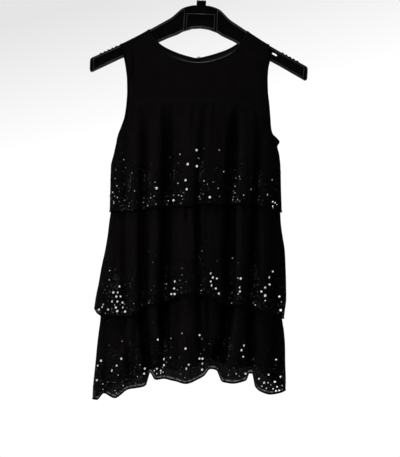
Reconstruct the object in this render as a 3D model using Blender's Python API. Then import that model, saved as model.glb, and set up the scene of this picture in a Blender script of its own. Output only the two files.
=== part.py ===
"""A-line dress in three gathered tiers, hung on a moulded hanger.

World frame in metres, +Z up. The origin is the inside top of the hanger's hook,
where the rod carries it. +X runs to the right as seen from the front, and the
front of the dress faces -Y. Sizes in the tables are millimetres, and a drop is
a distance below the origin.
"""
import math
from collections import namedtuple

import bmesh
import bpy
from mathutils import Matrix, Vector

MM = 0.001

# Cloth
WALL = 1.2
SEAM_GAP = 0.3
FRONT = -1
BACK = 1
BACK_FLATNESS = 0.82
TUCK = 25.0
SEAM_EASE = 45.0
SURFACE_STEP = 0.4
ACROSS_STEP = 0.002
GATHER_RISE = 8.0
GATHERS_ABOVE_HEM = 12.0
SHARP_ANGLE = math.radians(50)

# Hanger, in its own level frame before it hangs askew
TURN = math.radians(2.3)
HANGER_HALF_THICK = 5.0
WEB_HALF_THICK = 2.0
RIM = 3.2
BOSS_HALF_WIDTH = 9.0
BOSS_TOP = 62.0
PLATE_TOP = 72.0
RIB_INNER = 27.5
RIB_OUTER = 33.0
ARM_RECESS_END = 209.5
TOOTH_COUNT = 5
TOOTH_FIRST = 164.0
TOOTH_PITCH = 7.5
TOOTH_SLOPE = 1.2
TOOTH_LENGTH = 4.2
TOOTH_HEIGHT = 1.8
SLOT_AT = 150.0
SLOT_DROP = 163.0
SLOT_LENGTH = 11.0
SLOT_HEIGHT = 3.6
ARM_SLOPE = math.atan(0.508)
SLOT_END_STEPS = 4
TURN_STEPS = 5
TOP_EDGE_STEP = 7.5
PLATE_RECESS_TOP = 89.0
CUT_PAST = 2.0

# Hook
WIRE_RADIUS = 2.0
HOOK_INSIDE_RADIUS = 20.0
HOOK_JOIN = math.radians(60)
HOOK_END = math.radians(205)
STEM_END_DROP = 84.0
WIRE_SIDES = 8
HOOK_BEND_STEPS = 6
HOOK_TURN_STEPS = 24
BORE_MOUTH = 4.0

# Shoulder line: the cloth lies flat over the arm's top and turns down its faces
SHOULDER_FLAT = 5.0
SHOULDER_CORNER = 2.2
SHOULDER_ARC = SHOULDER_CORNER * math.pi / 2
SHOULDER_HALF = SHOULDER_FLAT + SHOULDER_CORNER
SHOULDER_EASE = 20.0
SHOULDER_LEVEL = 120.0
NECK_STEP = 2 * ACROSS_STEP
NECK_CLEAR = 1.6 * NECK_STEP
SPLIT_LEVEL = 200.0
BINDING_THICK = 1.0
BINDING_GAP = 0.35

# Nape closure
BUTTON_X = -7.5
BUTTON_DROP = 178.0
BUTTON_BELOW_EDGE = 3.0
BUTTON_RADIUS = 4.5
BUTTON_THICK = 3.0
BUTTON_SEGMENTS = 14
BUTTON_RINGS = 8
LOOP_CORD = 0.6
LOOP_SIDES = 6
LOOP_STEPS = 12
LOOP_OPEN = math.radians(20)
LOOP_ROOT = 5.0
LOOP_ROOT_SPREAD = 1.6

Arm = namedtuple("Arm", "out drop")
ARM_TOP = [
    Arm(0, PLATE_TOP), Arm(12, PLATE_TOP), Arm(30, 76), Arm(40, 81), Arm(47, 88), Arm(57, 97.5),
    Arm(74, 108.3), Arm(96, 121.6), Arm(132, 142.9), Arm(153, 154.2), Arm(213, 184.4),
]
ARM_UNDERSIDE = [
    Arm(0, 116.6), Arm(16, 118.2), Arm(34, 124), Arm(44, 130), Arm(66, 139.4), Arm(77, 145),
    Arm(159, 184.2), Arm(212.5, 212.3),
]
ARM_TIP = [Arm(216, 187), Arm(216.6, 191), Arm(216.6, 207), Arm(215.6, 211.2)]

# The dress's outline and depth at heights down the body. edge is the half gap
# between front and back at the armhole, and swell shapes the section: 1 is
# shallow like a leaf, 0.5 is an ellipse.
Level = namedtuple("Level", "drop left right edge depth swell")
BODY = [
    Level(118, -165, 132, 7.2, 7.2, 1.0),
    Level(140, -165, 132, 7.2, 7.2, 1.0),
    Level(150, -164.6, 132.4, 7.2, 7.6, 1.0),
    Level(162, -161.6, 134, 7.2, 8.4, 1.0),
    Level(174, -157.2, 134.9, 7.2, 9.6, 1.0),
    Level(184, -155, 133.2, 7.5, 11, 1.0),
    Level(196, -153, 130.6, 8, 13, 1.0),
    Level(220, -150.4, 129, 9.5, 17, 1.0),
    Level(244, -150, 129.6, 11, 20.5, 1.0),
    Level(268, -151.6, 132.2, 12, 24, 0.95),
    Level(292, -155, 134.2, 11.5, 27.5, 0.85),
    Level(316, -163, 136, 9.6, 31, 0.72),
    Level(328, -168, 139.4, 7.6, 32.5, 0.64),
    Level(337, -170.5, 148.5, 4.6, 33.5, 0.57),
    Level(344, -172, 153.2, 0.15, 34.5, 0.5),
    Level(352, -173.8, 148.8, 0.15, 35.5, 0.5),
    Level(368, -177.4, 152.4, 0.15, 37.5, 0.5),
    Level(392, -183, 155, 0.15, 40.5, 0.5),
    Level(440, -184.4, 156.2, 0.15, 46, 0.5),
    Level(484, -185.6, 157.6, 0.15, 51.5, 0.5),
]
SKIRT_2 = [
    Level(450, -181.5, 153.2, 0.15, 42.5, 0.5),
    Level(484, -183.6, 154.6, 0.15, 46.5, 0.5),
    Level(504, -186.4, 155.6, 0.15, 48.5, 0.5),
    Level(528, -189.2, 158.6, 0.15, 51, 0.5),
    Level(560, -194.6, 163.6, 0.15, 54, 0.5),
    Level(592, -201.6, 165.2, 0.15, 57, 0.5),
    Level(624, -207.2, 166.2, 0.15, 60.5, 0.5),
    Level(656, -213.6, 166.6, 0.15, 64, 0.5),
    Level(676, -216, 164.2, 0.15, 66, 0.5),
    Level(698, -215, 161.6, 0.15, 68, 0.5),
]
SKIRT_3 = [
    Level(640, -205.5, 157, 0.15, 52.5, 0.5),
    Level(688, -203.6, 157.4, 0.15, 56.5, 0.5),
    Level(704, -204.8, 159.2, 0.15, 59, 0.5),
    Level(720, -207, 161.8, 0.15, 61.5, 0.5),
    Level(752, -210.8, 164.2, 0.15, 66, 0.5),
    Level(784, -213.8, 164.6, 0.15, 70, 0.5),
    Level(816, -217.2, 165.6, 0.15, 73, 0.5),
    Level(836, -219, 165.2, 0.15, 75, 0.5),
    Level(862, -219.8, 164.6, 0.15, 77.5, 0.5),
]

# Lines drawn across the dress, seen from the front
Line = namedtuple("Line", "x drop")
FRONT_NECKLINE = [
    Line(-105.5, 125), Line(-98, 134), Line(-88.4, 145.5), Line(-72.4, 166), Line(-48, 178.5),
    Line(-22.8, 184.8), Line(-8, 186), Line(7.6, 184.8), Line(34, 177.5), Line(59.6, 165.6),
    Line(73, 149.5), Line(80.5, 139.5), Line(88, 128.5),
]
BACK_NECKLINE = [
    Line(-105.5, 125), Line(-98.5, 134), Line(-90, 143.5), Line(-75.6, 154), Line(-63.6, 160),
    Line(-48.8, 166), Line(-29.4, 172), Line(-12, 175.5), Line(7.4, 172), Line(28.6, 166),
    Line(45.8, 160), Line(58.2, 154), Line(72, 145), Line(80.5, 137), Line(88, 128.5),
]
NECK_POINT_LEFT = -107.8
NECK_POINT_RIGHT = 90.4

Pattern = namedtuple("Pattern", "across drop")
YOKE_SEAM = [
    Pattern(0, 274), Pattern(0.15, 264), Pattern(0.45, 262), Pattern(0.7, 266),
    Pattern(0.88, 277), Pattern(1, 296),
]
HEM_1_FRONT = [
    Line(-185, 482), Line(-130, 481), Line(-104, 475), Line(-64, 472.5), Line(-28, 471.5),
    Line(2, 467), Line(98, 467), Line(116, 474), Line(157, 483),
]
HEM_1_BACK = [Line(-185, 482), Line(-110, 476), Line(-10, 470), Line(90, 474), Line(157, 483)]
HEM_2_FRONT = [
    Line(-215.5, 675), Line(-209, 684), Line(-199, 689), Line(-148, 689), Line(-130, 680),
    Line(-108, 666), Line(-82, 663), Line(-60, 654), Line(-42, 646), Line(4, 646),
    Line(20, 656), Line(44, 666), Line(98, 667), Line(122, 682), Line(161, 695),
]
HEM_2_BACK = [
    Line(-215.5, 675), Line(-190, 682), Line(-130, 668), Line(-70, 661), Line(-10, 650),
    Line(60, 658), Line(120, 672), Line(161, 695),
]
HEM_3_FRONT = [
    Line(-219.6, 855), Line(-211, 855), Line(-196, 841), Line(-174, 849), Line(-148, 832),
    Line(-113, 824), Line(-104.5, 798), Line(-92, 812), Line(-76, 810), Line(-55, 814),
    Line(-34, 819), Line(-6, 809), Line(2, 804), Line(14, 791), Line(27, 794), Line(39, 816),
    Line(60, 819), Line(85, 814), Line(91, 801), Line(98, 801), Line(104, 827), Line(118, 838),
    Line(136, 843), Line(154, 841), Line(164.6, 838),
]
HEM_3_BACK = [
    Line(-219.6, 855), Line(-200, 846), Line(-176, 830), Line(-150, 824), Line(-120, 806),
    Line(-88, 796), Line(-50, 803), Line(-14, 794), Line(24, 780), Line(60, 800),
    Line(96, 792), Line(130, 815), Line(150, 828), Line(164.6, 838),
]

# Folds run down through the tiers. Each has its place at the yoke seam and at
# the three hems, its half width, and how far it stands out there; a valley is
# negative.
Fold = namedtuple("Fold", "seam_x x_1 x_2 x_3 half_width seam_out out_1 out_2 out_3")
FRONT_FOLDS = [
    Fold(-116, -118, -118, -105, 14, -2, -9, -12, -11),
    Fold(-70, -72, -75, -80, 17, -5, -10, -12, -5),
    Fold(4, -10, -8, -4, 11, -1, -5, -4, -2),
    Fold(64, 54, 51, 22, 19, -6, -10, -12, -17),
    Fold(116, 104, 96, 95, 14, -3, -9, -12, -13),
    Fold(136, 142, 144, 140, 9, 0, -3, -4, -3),
    Fold(-150, -158, -156, -144, 10, 0, -4, -4, -5),
    Fold(-190, -190, -190, -194, 9, 0, 0, -2, -4),
    Fold(-28, -32, -30, -30, 26, 3, 3, 4, 7),
    Fold(86, 78, 72, 60, 17, 2, 4, 5, 7),
    Fold(128, 125, 124, 124, 16, 0, 3, 5, 6),
    Fold(-140, -140, -138, -172, 15, 0, 3, 4, 6),
    Fold(-93, -95, -97, -64, 13, 1, 3, 4, 5),
]
BACK_FOLDS = [
    Fold(-130, -132, -130, -128, 15, -2, -8, -10, -12),
    Fold(-84, -88, -92, -90, 18, -4, -9, -11, -9),
    Fold(-34, -36, -40, -46, 16, -3, -7, -9, -12),
    Fold(18, 16, 14, 12, 20, -4, -9, -12, -14),
    Fold(70, 72, 74, 76, 16, -3, -8, -10, -12),
    Fold(112, 116, 118, 118, 14, -2, -6, -9, -9),
    Fold(-108, -110, -111, -108, 12, 1, 3, 4, 6),
    Fold(-60, -62, -66, -68, 14, 1, 4, 5, 6),
    Fold(-8, -10, -13, -16, 15, 2, 4, 6, 7),
    Fold(44, 44, 44, 45, 15, 1, 3, 5, 7),
    Fold(93, 95, 97, 98, 13, 1, 3, 4, 5),
]
FOLD_LEVELS = (270, 475, 668, 812)

Gathers = namedtuple("Gathers", "count height reach drift")
GATHERS_1 = Gathers(14, 1.1, 70, 0.3)
GATHERS_2 = Gathers(15, 1.6, 80, 0.8)
GATHERS_3 = Gathers(13, 1.6, 85, 0.5)

# Columns and rows of the walls
COLUMNS = {FRONT: 46, BACK: 32}
BINDING_COLUMNS = {FRONT: 3, BACK: 2}
COLUMN_SPREAD = 0.45
SLEEVE_ROWS = (0.4, 0.72, 0.9)
UNDERARM_DROP = 344.0
CORNER_DROP = 352.0
TIER_1_STEPS = 3
TIER_STEPS = 5
YOKE_STEPS = 5

Paint = namedtuple("Paint", "name colour roughness metallic")
CHIFFON = Paint("chiffon", (0.012, 0.012, 0.014), 0.85, 0.0)
BINDING = Paint("binding", (0.016, 0.016, 0.018), 0.6, 0.0)
MOULDED = Paint("moulded_plastic", (0.014, 0.014, 0.015), 0.32, 0.0)
STEEL = Paint("steel_wire", (0.6, 0.6, 0.62), 0.25, 1.0)
BUTTON = Paint("button_plastic", (0.015, 0.015, 0.016), 0.25, 0.0)


def clear_scene():
    """Remove the objects that the file opens with."""
    for item in list(bpy.data.objects):
        bpy.data.objects.remove(item)


def material(paint):
    """Material of a paint, made once."""
    found = bpy.data.materials.get(paint.name)
    if found:
        return found
    made = bpy.data.materials.new(paint.name)
    made.use_nodes = True
    shader = made.node_tree.nodes["Principled BSDF"]
    shader.inputs["Base Color"].default_value = (*paint.colour, 1)
    shader.inputs["Roughness"].default_value = paint.roughness
    shader.inputs["Metallic"].default_value = paint.metallic
    return made


def smooth(share):
    """Ease from 0 to 1."""
    held = min(1.0, max(0.0, share))
    return held * held * (3 - 2 * held)


def curve(pairs):
    """Function through (place, value) pairs that never runs past a value."""
    places = [place for place, _ in pairs]
    values = [value for _, value in pairs]
    rises = []
    for i in range(len(pairs) - 1):
        rises.append((values[i + 1] - values[i]) / (places[i + 1] - places[i]))
    slopes = [rises[0]]
    for before, after in zip(rises, rises[1:]):
        slopes.append(2 * before * after / (before + after) if before * after > 0 else 0.0)
    slopes.append(rises[-1])

    def value(at):
        if at <= places[0]:
            return values[0]
        if at >= places[-1]:
            return values[-1]
        i = 0
        while places[i + 1] < at:
            i += 1
        span = places[i + 1] - places[i]
        t = (at - places[i]) / span
        start = (1 + 2 * t) * (1 - t) ** 2 * values[i] + t * (1 - t) ** 2 * span * slopes[i]
        end = t * t * (3 - 2 * t) * values[i + 1] + t * t * (t - 1) * span * slopes[i + 1]
        return start + end

    return value


def column(rows, name):
    """Curve of one named column of a table, over its first column."""
    return curve([(row[0], getattr(row, name)) for row in rows])


def turned(out, drop):
    """World x and drop of a point of the level hanger."""
    x = out * math.cos(TURN) - drop * math.sin(TURN)
    return x, out * math.sin(TURN) + drop * math.cos(TURN)


def hanger_top_drop(x):
    """Drop of the hanger's top edge at a world x."""
    out = x
    for _ in range(TURN_STEPS):
        out = (x + ARM_TOP_CURVE(abs(out)) * math.sin(TURN)) / math.cos(TURN)
    return turned(out, ARM_TOP_CURVE(abs(out)))[1]


class Shape:
    """Curves of a Level table."""

    def __init__(self, levels):
        self.left = column(levels, "left")
        self.right = column(levels, "right")
        self.edge = column(levels, "edge")
        self.depth = column(levels, "depth")
        self.swell = column(levels, "swell")

    def x(self, across, drop):
        """World x of a share of the width at a height."""
        left = self.left(drop)
        return left + (self.right(drop) - left) * across

    def across(self, x, drop):
        """Share of the width at which x lies at a height."""
        left = self.left(drop)
        return (x - left) / (self.right(drop) - left)

    def half_depth(self, side, across, drop):
        """Distance of the smooth outer face from the plane y = 0."""
        edge = self.edge(drop)
        bulge = (4 * across * (1 - across)) ** self.swell(drop)
        flat = BACK_FLATNESS if side == BACK else 1.0
        return edge + (max(self.depth(drop) * flat, edge) - edge) * bulge


def fold_curves(folds):
    """Place and height curves of each fold, over the drop."""
    made = []
    for fold in folds:
        places = (fold.seam_x, fold.x_1, fold.x_2, fold.x_3)
        heights = (fold.seam_out, fold.out_1, fold.out_2, fold.out_3)
        made.append((curve(list(zip(FOLD_LEVELS, places))),
                     curve(list(zip(FOLD_LEVELS, heights))), fold.half_width))
    return made


FOLDS = {FRONT: fold_curves(FRONT_FOLDS), BACK: fold_curves(BACK_FOLDS)}


def relief(side, x, drop):
    """How far the folds stand out at a place."""
    total = 0.0
    for place, height, half_width in FOLDS[side]:
        offset = (x - place(drop)) / half_width
        if abs(offset) < 1:
            total += height(drop) * math.cos(math.pi * offset / 2) ** 2
    return total


def gathered(gathers, across, below):
    """Height of the small gathers at a distance below the seam that holds them."""
    fade = smooth(below / GATHER_RISE) * (1 - smooth(below / gathers.reach))
    wander = gathers.drift * math.sin(6 * math.pi * across + gathers.count)
    return gathers.height * fade * math.sin(2 * math.pi * gathers.count * across + wander)


def line_across(shape, rows):
    """Curve of a line's drop over the share of the width."""
    return curve([(shape.across(row.x, row.drop), row.drop) for row in rows])


class Tier:
    """One gathered tier: its own shape, tucked under the tier above."""

    def __init__(self, levels, hems, gathers, above=None):
        self.shape = Shape(levels)
        self.gathers = gathers
        self.above = above
        self.hems = {side: line_across(self.shape, hems[side]) for side in (FRONT, BACK)}

    def top(self, side, across):
        """Drop of the top edge."""
        if self.above is None:
            return seam_line(across) + SEAM_GAP / 2
        return self.above.hems[side](across) - TUCK

    def own_point(self, side, across, drop):
        """Point of the tier's own shape, without the tuck."""
        below = drop - self.top(side, across)
        window = math.sqrt(max(0.0, 4 * across * (1 - across)))
        x = self.shape.x(across, drop)
        out = self.shape.half_depth(side, across, drop)
        ease = smooth(below / SEAM_EASE) if self.above is None else 1.0
        out += window * ease * relief(side, x, drop)
        start = 0.0 if self.above is None else TUCK - GATHERS_ABOVE_HEM
        out += window * gathered(self.gathers, across, below - start)
        return Vector((x, side * out, -drop))

    def point(self, side, across, drop):
        """Point of the outer face."""
        own = self.own_point(side, across, drop)
        if self.above is None:
            return own
        below = drop - self.top(side, across)
        share = smooth(below / TUCK)
        if share >= 1:
            return own
        held = self.above.point(side, across, drop)
        held = held - self.above.normal(side, across, drop) * (WALL + SEAM_GAP)
        return held.lerp(own, share)

    def normal(self, side, across, drop):
        """Direction out of the cloth."""
        low = max(0.0, across - ACROSS_STEP)
        high = min(1.0, across + ACROSS_STEP)
        along = self.point(side, high, drop) - self.point(side, low, drop)
        down = self.point(side, across, drop + SURFACE_STEP)
        down = down - self.point(side, across, drop - SURFACE_STEP)
        out = along.cross(down) * side
        at_seam = across in (0.0, 1.0) and self.shape.edge(drop) < 1
        if at_seam:
            out = Vector((-1 if across == 0 else 1, 0, 0))
        return out.normalized()


def seam_line(across):
    """Drop of the seam between yoke and first tier."""
    return SEAM_CURVE(across)


class Yoke:
    """The plain upper part, which hangs over the hanger's arms."""

    def __init__(self, neckline):
        self.shape = Shape(BODY)
        self.neck_left = self.shape.across(NECK_POINT_LEFT, SHOULDER_LEVEL)
        self.neck_right = self.shape.across(NECK_POINT_RIGHT, SHOULDER_LEVEL)
        self.neck = line_across(self.shape, neckline)

    def shoulder_drop(self, across):
        """Drop of the outer face where the cloth lies on the arm."""
        return hanger_top_drop(self.shape.x(across, SHOULDER_LEVEL)) - SEAM_GAP - WALL

    def start(self, across):
        """Path length, from the shoulder line, at which a column starts."""
        if across <= self.neck_left or across >= self.neck_right:
            return SEAM_GAP / 2
        nearest = min(across - self.neck_left, self.neck_right - across)
        step = round(nearest / NECK_STEP)
        if step <= 1:
            return SHOULDER_FLAT
        if step == 2:
            return SHOULDER_FLAT + SHOULDER_ARC
        low = self.neck(across)
        return SHOULDER_FLAT + SHOULDER_ARC + low - self.shoulder_drop(across) - SHOULDER_CORNER

    def end(self, across):
        """Path length at which a column reaches the seam under the chest."""
        low = seam_line(across) - SEAM_GAP / 2
        return SHOULDER_FLAT + SHOULDER_ARC + low - self.shoulder_drop(across) - SHOULDER_CORNER

    def point(self, side, across, path):
        """Point of the outer face at a path length from the shoulder line."""
        if path < SHOULDER_FLAT:
            out, fall = path, 0.0
        elif path < SHOULDER_FLAT + SHOULDER_ARC:
            angle = (path - SHOULDER_FLAT) / SHOULDER_CORNER
            out = SHOULDER_FLAT + SHOULDER_CORNER * math.sin(angle)
            fall = SHOULDER_CORNER * (1 - math.cos(angle))
        else:
            out = SHOULDER_HALF
            fall = SHOULDER_CORNER + path - SHOULDER_FLAT - SHOULDER_ARC
        drop = self.shoulder_drop(across) + fall
        body = self.shape.half_depth(side, across, drop) - SHOULDER_HALF
        out += body * smooth(fall / SHOULDER_EASE)
        return Vector((self.shape.x(across, drop), side * out, -drop))

    def normal(self, side, across, path):
        """Direction out of the cloth."""
        low = max(0.0, across - ACROSS_STEP)
        high = min(1.0, across + ACROSS_STEP)
        along = self.point(side, high, path) - self.point(side, low, path)
        down = self.point(side, across, path + SURFACE_STEP)
        down = down - self.point(side, across, path - min(path, SURFACE_STEP))
        return (along.cross(down) * side).normalized()


ARM_TOP_CURVE = column(ARM_TOP, "drop")
SEAM_CURVE = column(YOKE_SEAM, "drop")
TIER_1 = Tier(BODY, {FRONT: HEM_1_FRONT, BACK: HEM_1_BACK}, GATHERS_1)
TIER_2 = Tier(SKIRT_2, {FRONT: HEM_2_FRONT, BACK: HEM_2_BACK}, GATHERS_2, TIER_1)
TIER_3 = Tier(SKIRT_3, {FRONT: HEM_3_FRONT, BACK: HEM_3_BACK}, GATHERS_3, TIER_2)
YOKES = {FRONT: Yoke(FRONT_NECKLINE), BACK: Yoke(BACK_NECKLINE)}


def columns(side):
    """Shares of the width, close together where the cloth turns round the sides."""
    made = []
    count = COLUMNS[side]
    for i in range(count + 1):
        part = i / count
        angle = math.pi * (part + COLUMN_SPREAD * math.sin(2 * math.pi * part) / (2 * math.pi))
        made.append((1 - math.cos(angle)) / 2)
    made[0] = 0.0
    made[-1] = 1.0
    return snapped(made, side)


def snapped(places, side):
    """Move the nearest columns onto the turns of the lowest hem, so its lobes keep their shape."""
    made = list(places)
    taken = set(range(BINDING_COLUMNS[side] + 1))
    taken |= {len(made) - 1 - i for i in taken}
    rows = {FRONT: HEM_3_FRONT, BACK: HEM_3_BACK}[side]
    for row in rows[1:-1]:
        target = TIER_3.shape.across(row.x, row.drop)
        nearest = min(range(len(places)), key=lambda i: abs(places[i] - target))
        if nearest not in taken:
            made[nearest] = target
            taken.add(nearest)
    return made


def link(name, mesh, paint):
    """Object of a finished mesh, in metres."""
    mesh.materials.append(material(paint))
    made = bpy.data.objects.new(name, mesh)
    bpy.context.scene.collection.objects.link(made)
    return made


def finish_mesh(name, builder, paint):
    """Turn a bmesh in millimetres into an object with its faces pointing out."""
    bmesh.ops.recalc_face_normals(builder, faces=builder.faces[:])
    bmesh.ops.scale(builder, vec=(MM, MM, MM), verts=builder.verts[:])
    mesh = bpy.data.meshes.new(name)
    builder.to_mesh(mesh)
    builder.free()
    mesh.shade_smooth()
    mesh.set_sharp_from_angle(angle=SHARP_ANGLE)
    return link(name, mesh, paint)


def skin(builder, first, second, third, fourth):
    """Two triangles over a patch, split along its shorter diagonal."""
    if (first.co - third.co).length <= (second.co - fourth.co).length:
        builder.faces.new((first, second, third))
        builder.faces.new((first, third, fourth))
    else:
        builder.faces.new((first, second, fourth))
        builder.faces.new((second, third, fourth))


def build_wall(name, outer, inner, paint):
    """Closed wall between two grids of points, given as rows of columns."""
    builder = bmesh.new()
    faces = [[[builder.verts.new(point) for point in row] for row in grid]
             for grid in (outer, inner)]
    last_row = len(outer) - 1
    last_column = len(outer[0]) - 1
    for grid in faces:
        for i in range(last_row):
            for j in range(last_column):
                skin(builder, grid[i][j], grid[i][j + 1], grid[i + 1][j + 1], grid[i + 1][j])
    rim = [(0, j) for j in range(last_column)]
    rim += [(i, last_column) for i in range(last_row)]
    rim += [(last_row, j) for j in range(last_column, 0, -1)]
    rim += [(i, 0) for i in range(last_row, 0, -1)]
    for (i, j), (k, m) in zip(rim, rim[1:] + rim[:1]):
        builder.faces.new((faces[0][i][j], faces[0][k][m], faces[1][k][m], faces[1][i][j]))
    return finish_mesh(name, builder, paint)


def cloth(name, surface, side, grid, paint, lift=0.0, thick=WALL):
    """Wall of a surface at a grid of (across, down) places, lifted off its face."""
    outer = []
    inner = []
    for row in grid:
        points = [surface.point(side, across, down) for across, down in row]
        outs = [surface.normal(side, across, down) for across, down in row]
        outer.append([point + out * lift for point, out in zip(points, outs)])
        inner.append([point + out * (lift - thick) for point, out in zip(points, outs)])
    return build_wall(name, outer, inner, paint)


def spaced(start, end, count):
    """Places after start, in equal steps up to end."""
    return [start + (end - start) * i / count for i in range(1, count + 1)]


def tier_1_drops(side, across):
    """Drops of the first tier's rows in one column."""
    top = TIER_1.top(side, across)
    hem = TIER_1.hems[side](across)
    rows = [top]
    rows += [top + (UNDERARM_DROP - top) * share for share in SLEEVE_ROWS]
    rows += [UNDERARM_DROP, CORNER_DROP]
    rows += spaced(CORNER_DROP, hem - TUCK, TIER_1_STEPS)
    rows.append(hem)
    return rows


def lower_drops(tier, side, across, tucks_next):
    """Drops of a lower tier's rows in one column."""
    top = tier.top(side, across)
    hem = tier.hems[side](across)
    rows = [top, top + TUCK * 0.4, top + TUCK]
    last = hem - TUCK if tucks_next else hem
    rows += spaced(top + TUCK, last, TIER_STEPS)
    if tucks_next:
        rows.append(hem)
    return rows


def tier_grid(places, drops):
    """Rows of (across, drop) places from the drops of each column."""
    down_columns = [drops(across) for across in places]
    rows = []
    for i in range(len(down_columns[0])):
        rows.append([(across, down[i]) for across, down in zip(places, down_columns)])
    return rows


def build_tiers():
    """Front and back of the three tiers."""
    for side, label in ((FRONT, "front"), (BACK, "back")):
        places = columns(side)
        grid = tier_grid(places, lambda across: tier_1_drops(side, across))
        cloth(f"tier_1_{label}", TIER_1, side, grid, CHIFFON)
        grid = tier_grid(places, lambda across: lower_drops(TIER_2, side, across, True))
        cloth(f"tier_2_{label}", TIER_2, side, grid, CHIFFON)
        grid = tier_grid(places, lambda across: lower_drops(TIER_3, side, across, False))
        cloth(f"tier_3_{label}", TIER_3, side, grid, CHIFFON)


def armhole_columns(side, end):
    """Columns under an armhole's binding, at the left end (0) or the right end (1)."""
    places = columns(side)
    count = BINDING_COLUMNS[side] + 1
    return places[:count] if end == 0 else places[-count:]


def yoke_columns(side, low=0.0, high=1.0):
    """Columns of a yoke, with the steps over the arm at the neck points."""
    yoke = YOKES[side]
    count = BINDING_COLUMNS[side] + 1
    middle = columns(side)[count:-count]
    over_arm = []
    for neck, inward in ((yoke.neck_left, 1), (yoke.neck_right, -1)):
        over_arm += [neck + inward * NECK_STEP * i for i in range(3)]
    plain = [place for place in middle if low + NECK_CLEAR < place < high - NECK_CLEAR
             and all(abs(place - other) > NECK_CLEAR for other in over_arm)]
    plain += [place for place in over_arm if low < place < high]
    for end in (0, 1):
        if low <= end <= high:
            plain += armhole_columns(side, end)
    return sorted(set(plain + [low, high]))


def yoke_paths(yoke, across):
    """Path lengths of the yoke's rows in one column."""
    start = yoke.start(across)
    end = yoke.end(across)
    rows = [start, start + SHOULDER_FLAT, start + SHOULDER_FLAT + SHOULDER_ARC / 2,
            start + SHOULDER_FLAT + SHOULDER_ARC]
    return rows + spaced(rows[-1], end, YOKE_STEPS)


def back_halves():
    """Names and shares of the width of the two halves that meet at the centre back."""
    shape = YOKES[BACK].shape
    half_gap = SEAM_GAP / 2 / (shape.right(SPLIT_LEVEL) - shape.left(SPLIT_LEVEL))
    return (("left", 0.0, 0.5 - half_gap), ("right", 0.5 + half_gap, 1.0))


def build_yokes():
    """Front yoke and the two back halves."""
    front = YOKES[FRONT]
    back = YOKES[BACK]
    grid = tier_grid(yoke_columns(FRONT), lambda across: yoke_paths(front, across))
    cloth("front_yoke", front, FRONT, grid, CHIFFON)
    for label, low, high in back_halves():
        places = yoke_columns(BACK, low, high)
        grid = tier_grid(places, lambda across: yoke_paths(back, across))
        cloth(f"back_yoke_{label}", back, BACK, grid, CHIFFON)


def build_neck_bindings():
    """Narrow strips on the outside along the neckline."""
    lift = BINDING_GAP + BINDING_THICK
    strips = [(FRONT, "front", 0.0, 1.0)]
    strips += [(BACK, f"back_{half}", low, high) for half, low, high in back_halves()]
    for side, label, low, high in strips:
        yoke = YOKES[side]
        places = [place for place in yoke_columns(side, low, high)
                  if yoke.neck_left <= place <= yoke.neck_right]
        grid = tier_grid(places, lambda across: yoke_paths(yoke, across)[:2])
        cloth(f"neck_binding_{label}", yoke, side, grid, BINDING, lift, BINDING_THICK)


def armhole_points(side, across, lift):
    """Points down an armhole's binding, over the yoke and the first tier."""
    yoke = YOKES[side]
    made = []
    for path in yoke_paths(yoke, across):
        made.append(yoke.point(side, across, path) + yoke.normal(side, across, path) * lift)
    for drop in tier_1_drops(side, across)[1:5]:
        made.append(TIER_1.point(side, across, drop) + TIER_1.normal(side, across, drop) * lift)
    return made


def build_armhole_bindings():
    """Narrow strips on the outside along each armhole, parted at the side seam."""
    for side, label in ((FRONT, "front"), (BACK, "back")):
        for place, end in (("left", 0), ("right", 1)):
            walls = []
            for lift in (BINDING_GAP + BINDING_THICK, BINDING_GAP):
                lines = [armhole_points(side, across, lift) for across in armhole_columns(side, end)]
                walls.append([list(row) for row in zip(*lines)])
            build_wall(f"armhole_binding_{place}_{label}", walls[0], walls[1], BINDING)


def prism(name, outline, half_thick, paint=None, centre=0.0):
    """Flat plate of an outline of (x, drop) points, thick along Y."""
    builder = bmesh.new()
    front = [builder.verts.new((x, centre - half_thick, -drop)) for x, drop in outline]
    back = [builder.verts.new((x, centre + half_thick, -drop)) for x, drop in outline]
    builder.faces.new(front)
    builder.faces.new(list(reversed(back)))
    for i in range(len(outline)):
        j = (i + 1) % len(outline)
        builder.faces.new((front[j], front[i], back[i], back[j]))
    return finish_mesh(name, builder, paint or MOULDED)


def cutter(name, outline, half_thick, centre=0.0):
    """Hidden plate that cuts."""
    made = prism(name, outline, half_thick, None, centre)
    made.hide_render = True
    made.display_type = "WIRE"
    return made


def arm_teeth():
    """Points of the small teeth along the arm's top edge."""
    made = []
    for i in range(TOOTH_COUNT):
        start = TOOTH_FIRST + TOOTH_PITCH * i
        crest = ((0, 0), (TOOTH_SLOPE, TOOTH_HEIGHT),
                 (TOOTH_LENGTH - TOOTH_SLOPE, TOOTH_HEIGHT), (TOOTH_LENGTH, 0))
        for along, height in crest:
            made.append(Arm(start + along, ARM_TOP_CURVE(start + along) - height))
    return made


def hanger_outline():
    """Closed outline of the hanger in its level frame."""
    count = round((TOOTH_FIRST - BOSS_HALF_WIDTH) / TOP_EDGE_STEP)
    outs = [BOSS_HALF_WIDTH + TOP_EDGE_STEP * i for i in range(1, count)]
    above = [Arm(out, ARM_TOP_CURVE(out)) for out in outs]
    last = [row for row in ARM_TOP if row.out > TOOTH_FIRST + TOOTH_PITCH * TOOTH_COUNT]
    boss = [Arm(BOSS_HALF_WIDTH, BOSS_TOP), Arm(BOSS_HALF_WIDTH, PLATE_TOP)]
    half = boss + above + arm_teeth() + last + ARM_TIP + list(reversed(ARM_UNDERSIDE[1:]))
    right = [(row.out, row.drop) for row in half]
    left = [(-row.out, row.drop) for row in reversed(half)]
    return right + [(0, ARM_UNDERSIDE[0].drop)] + left


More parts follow.
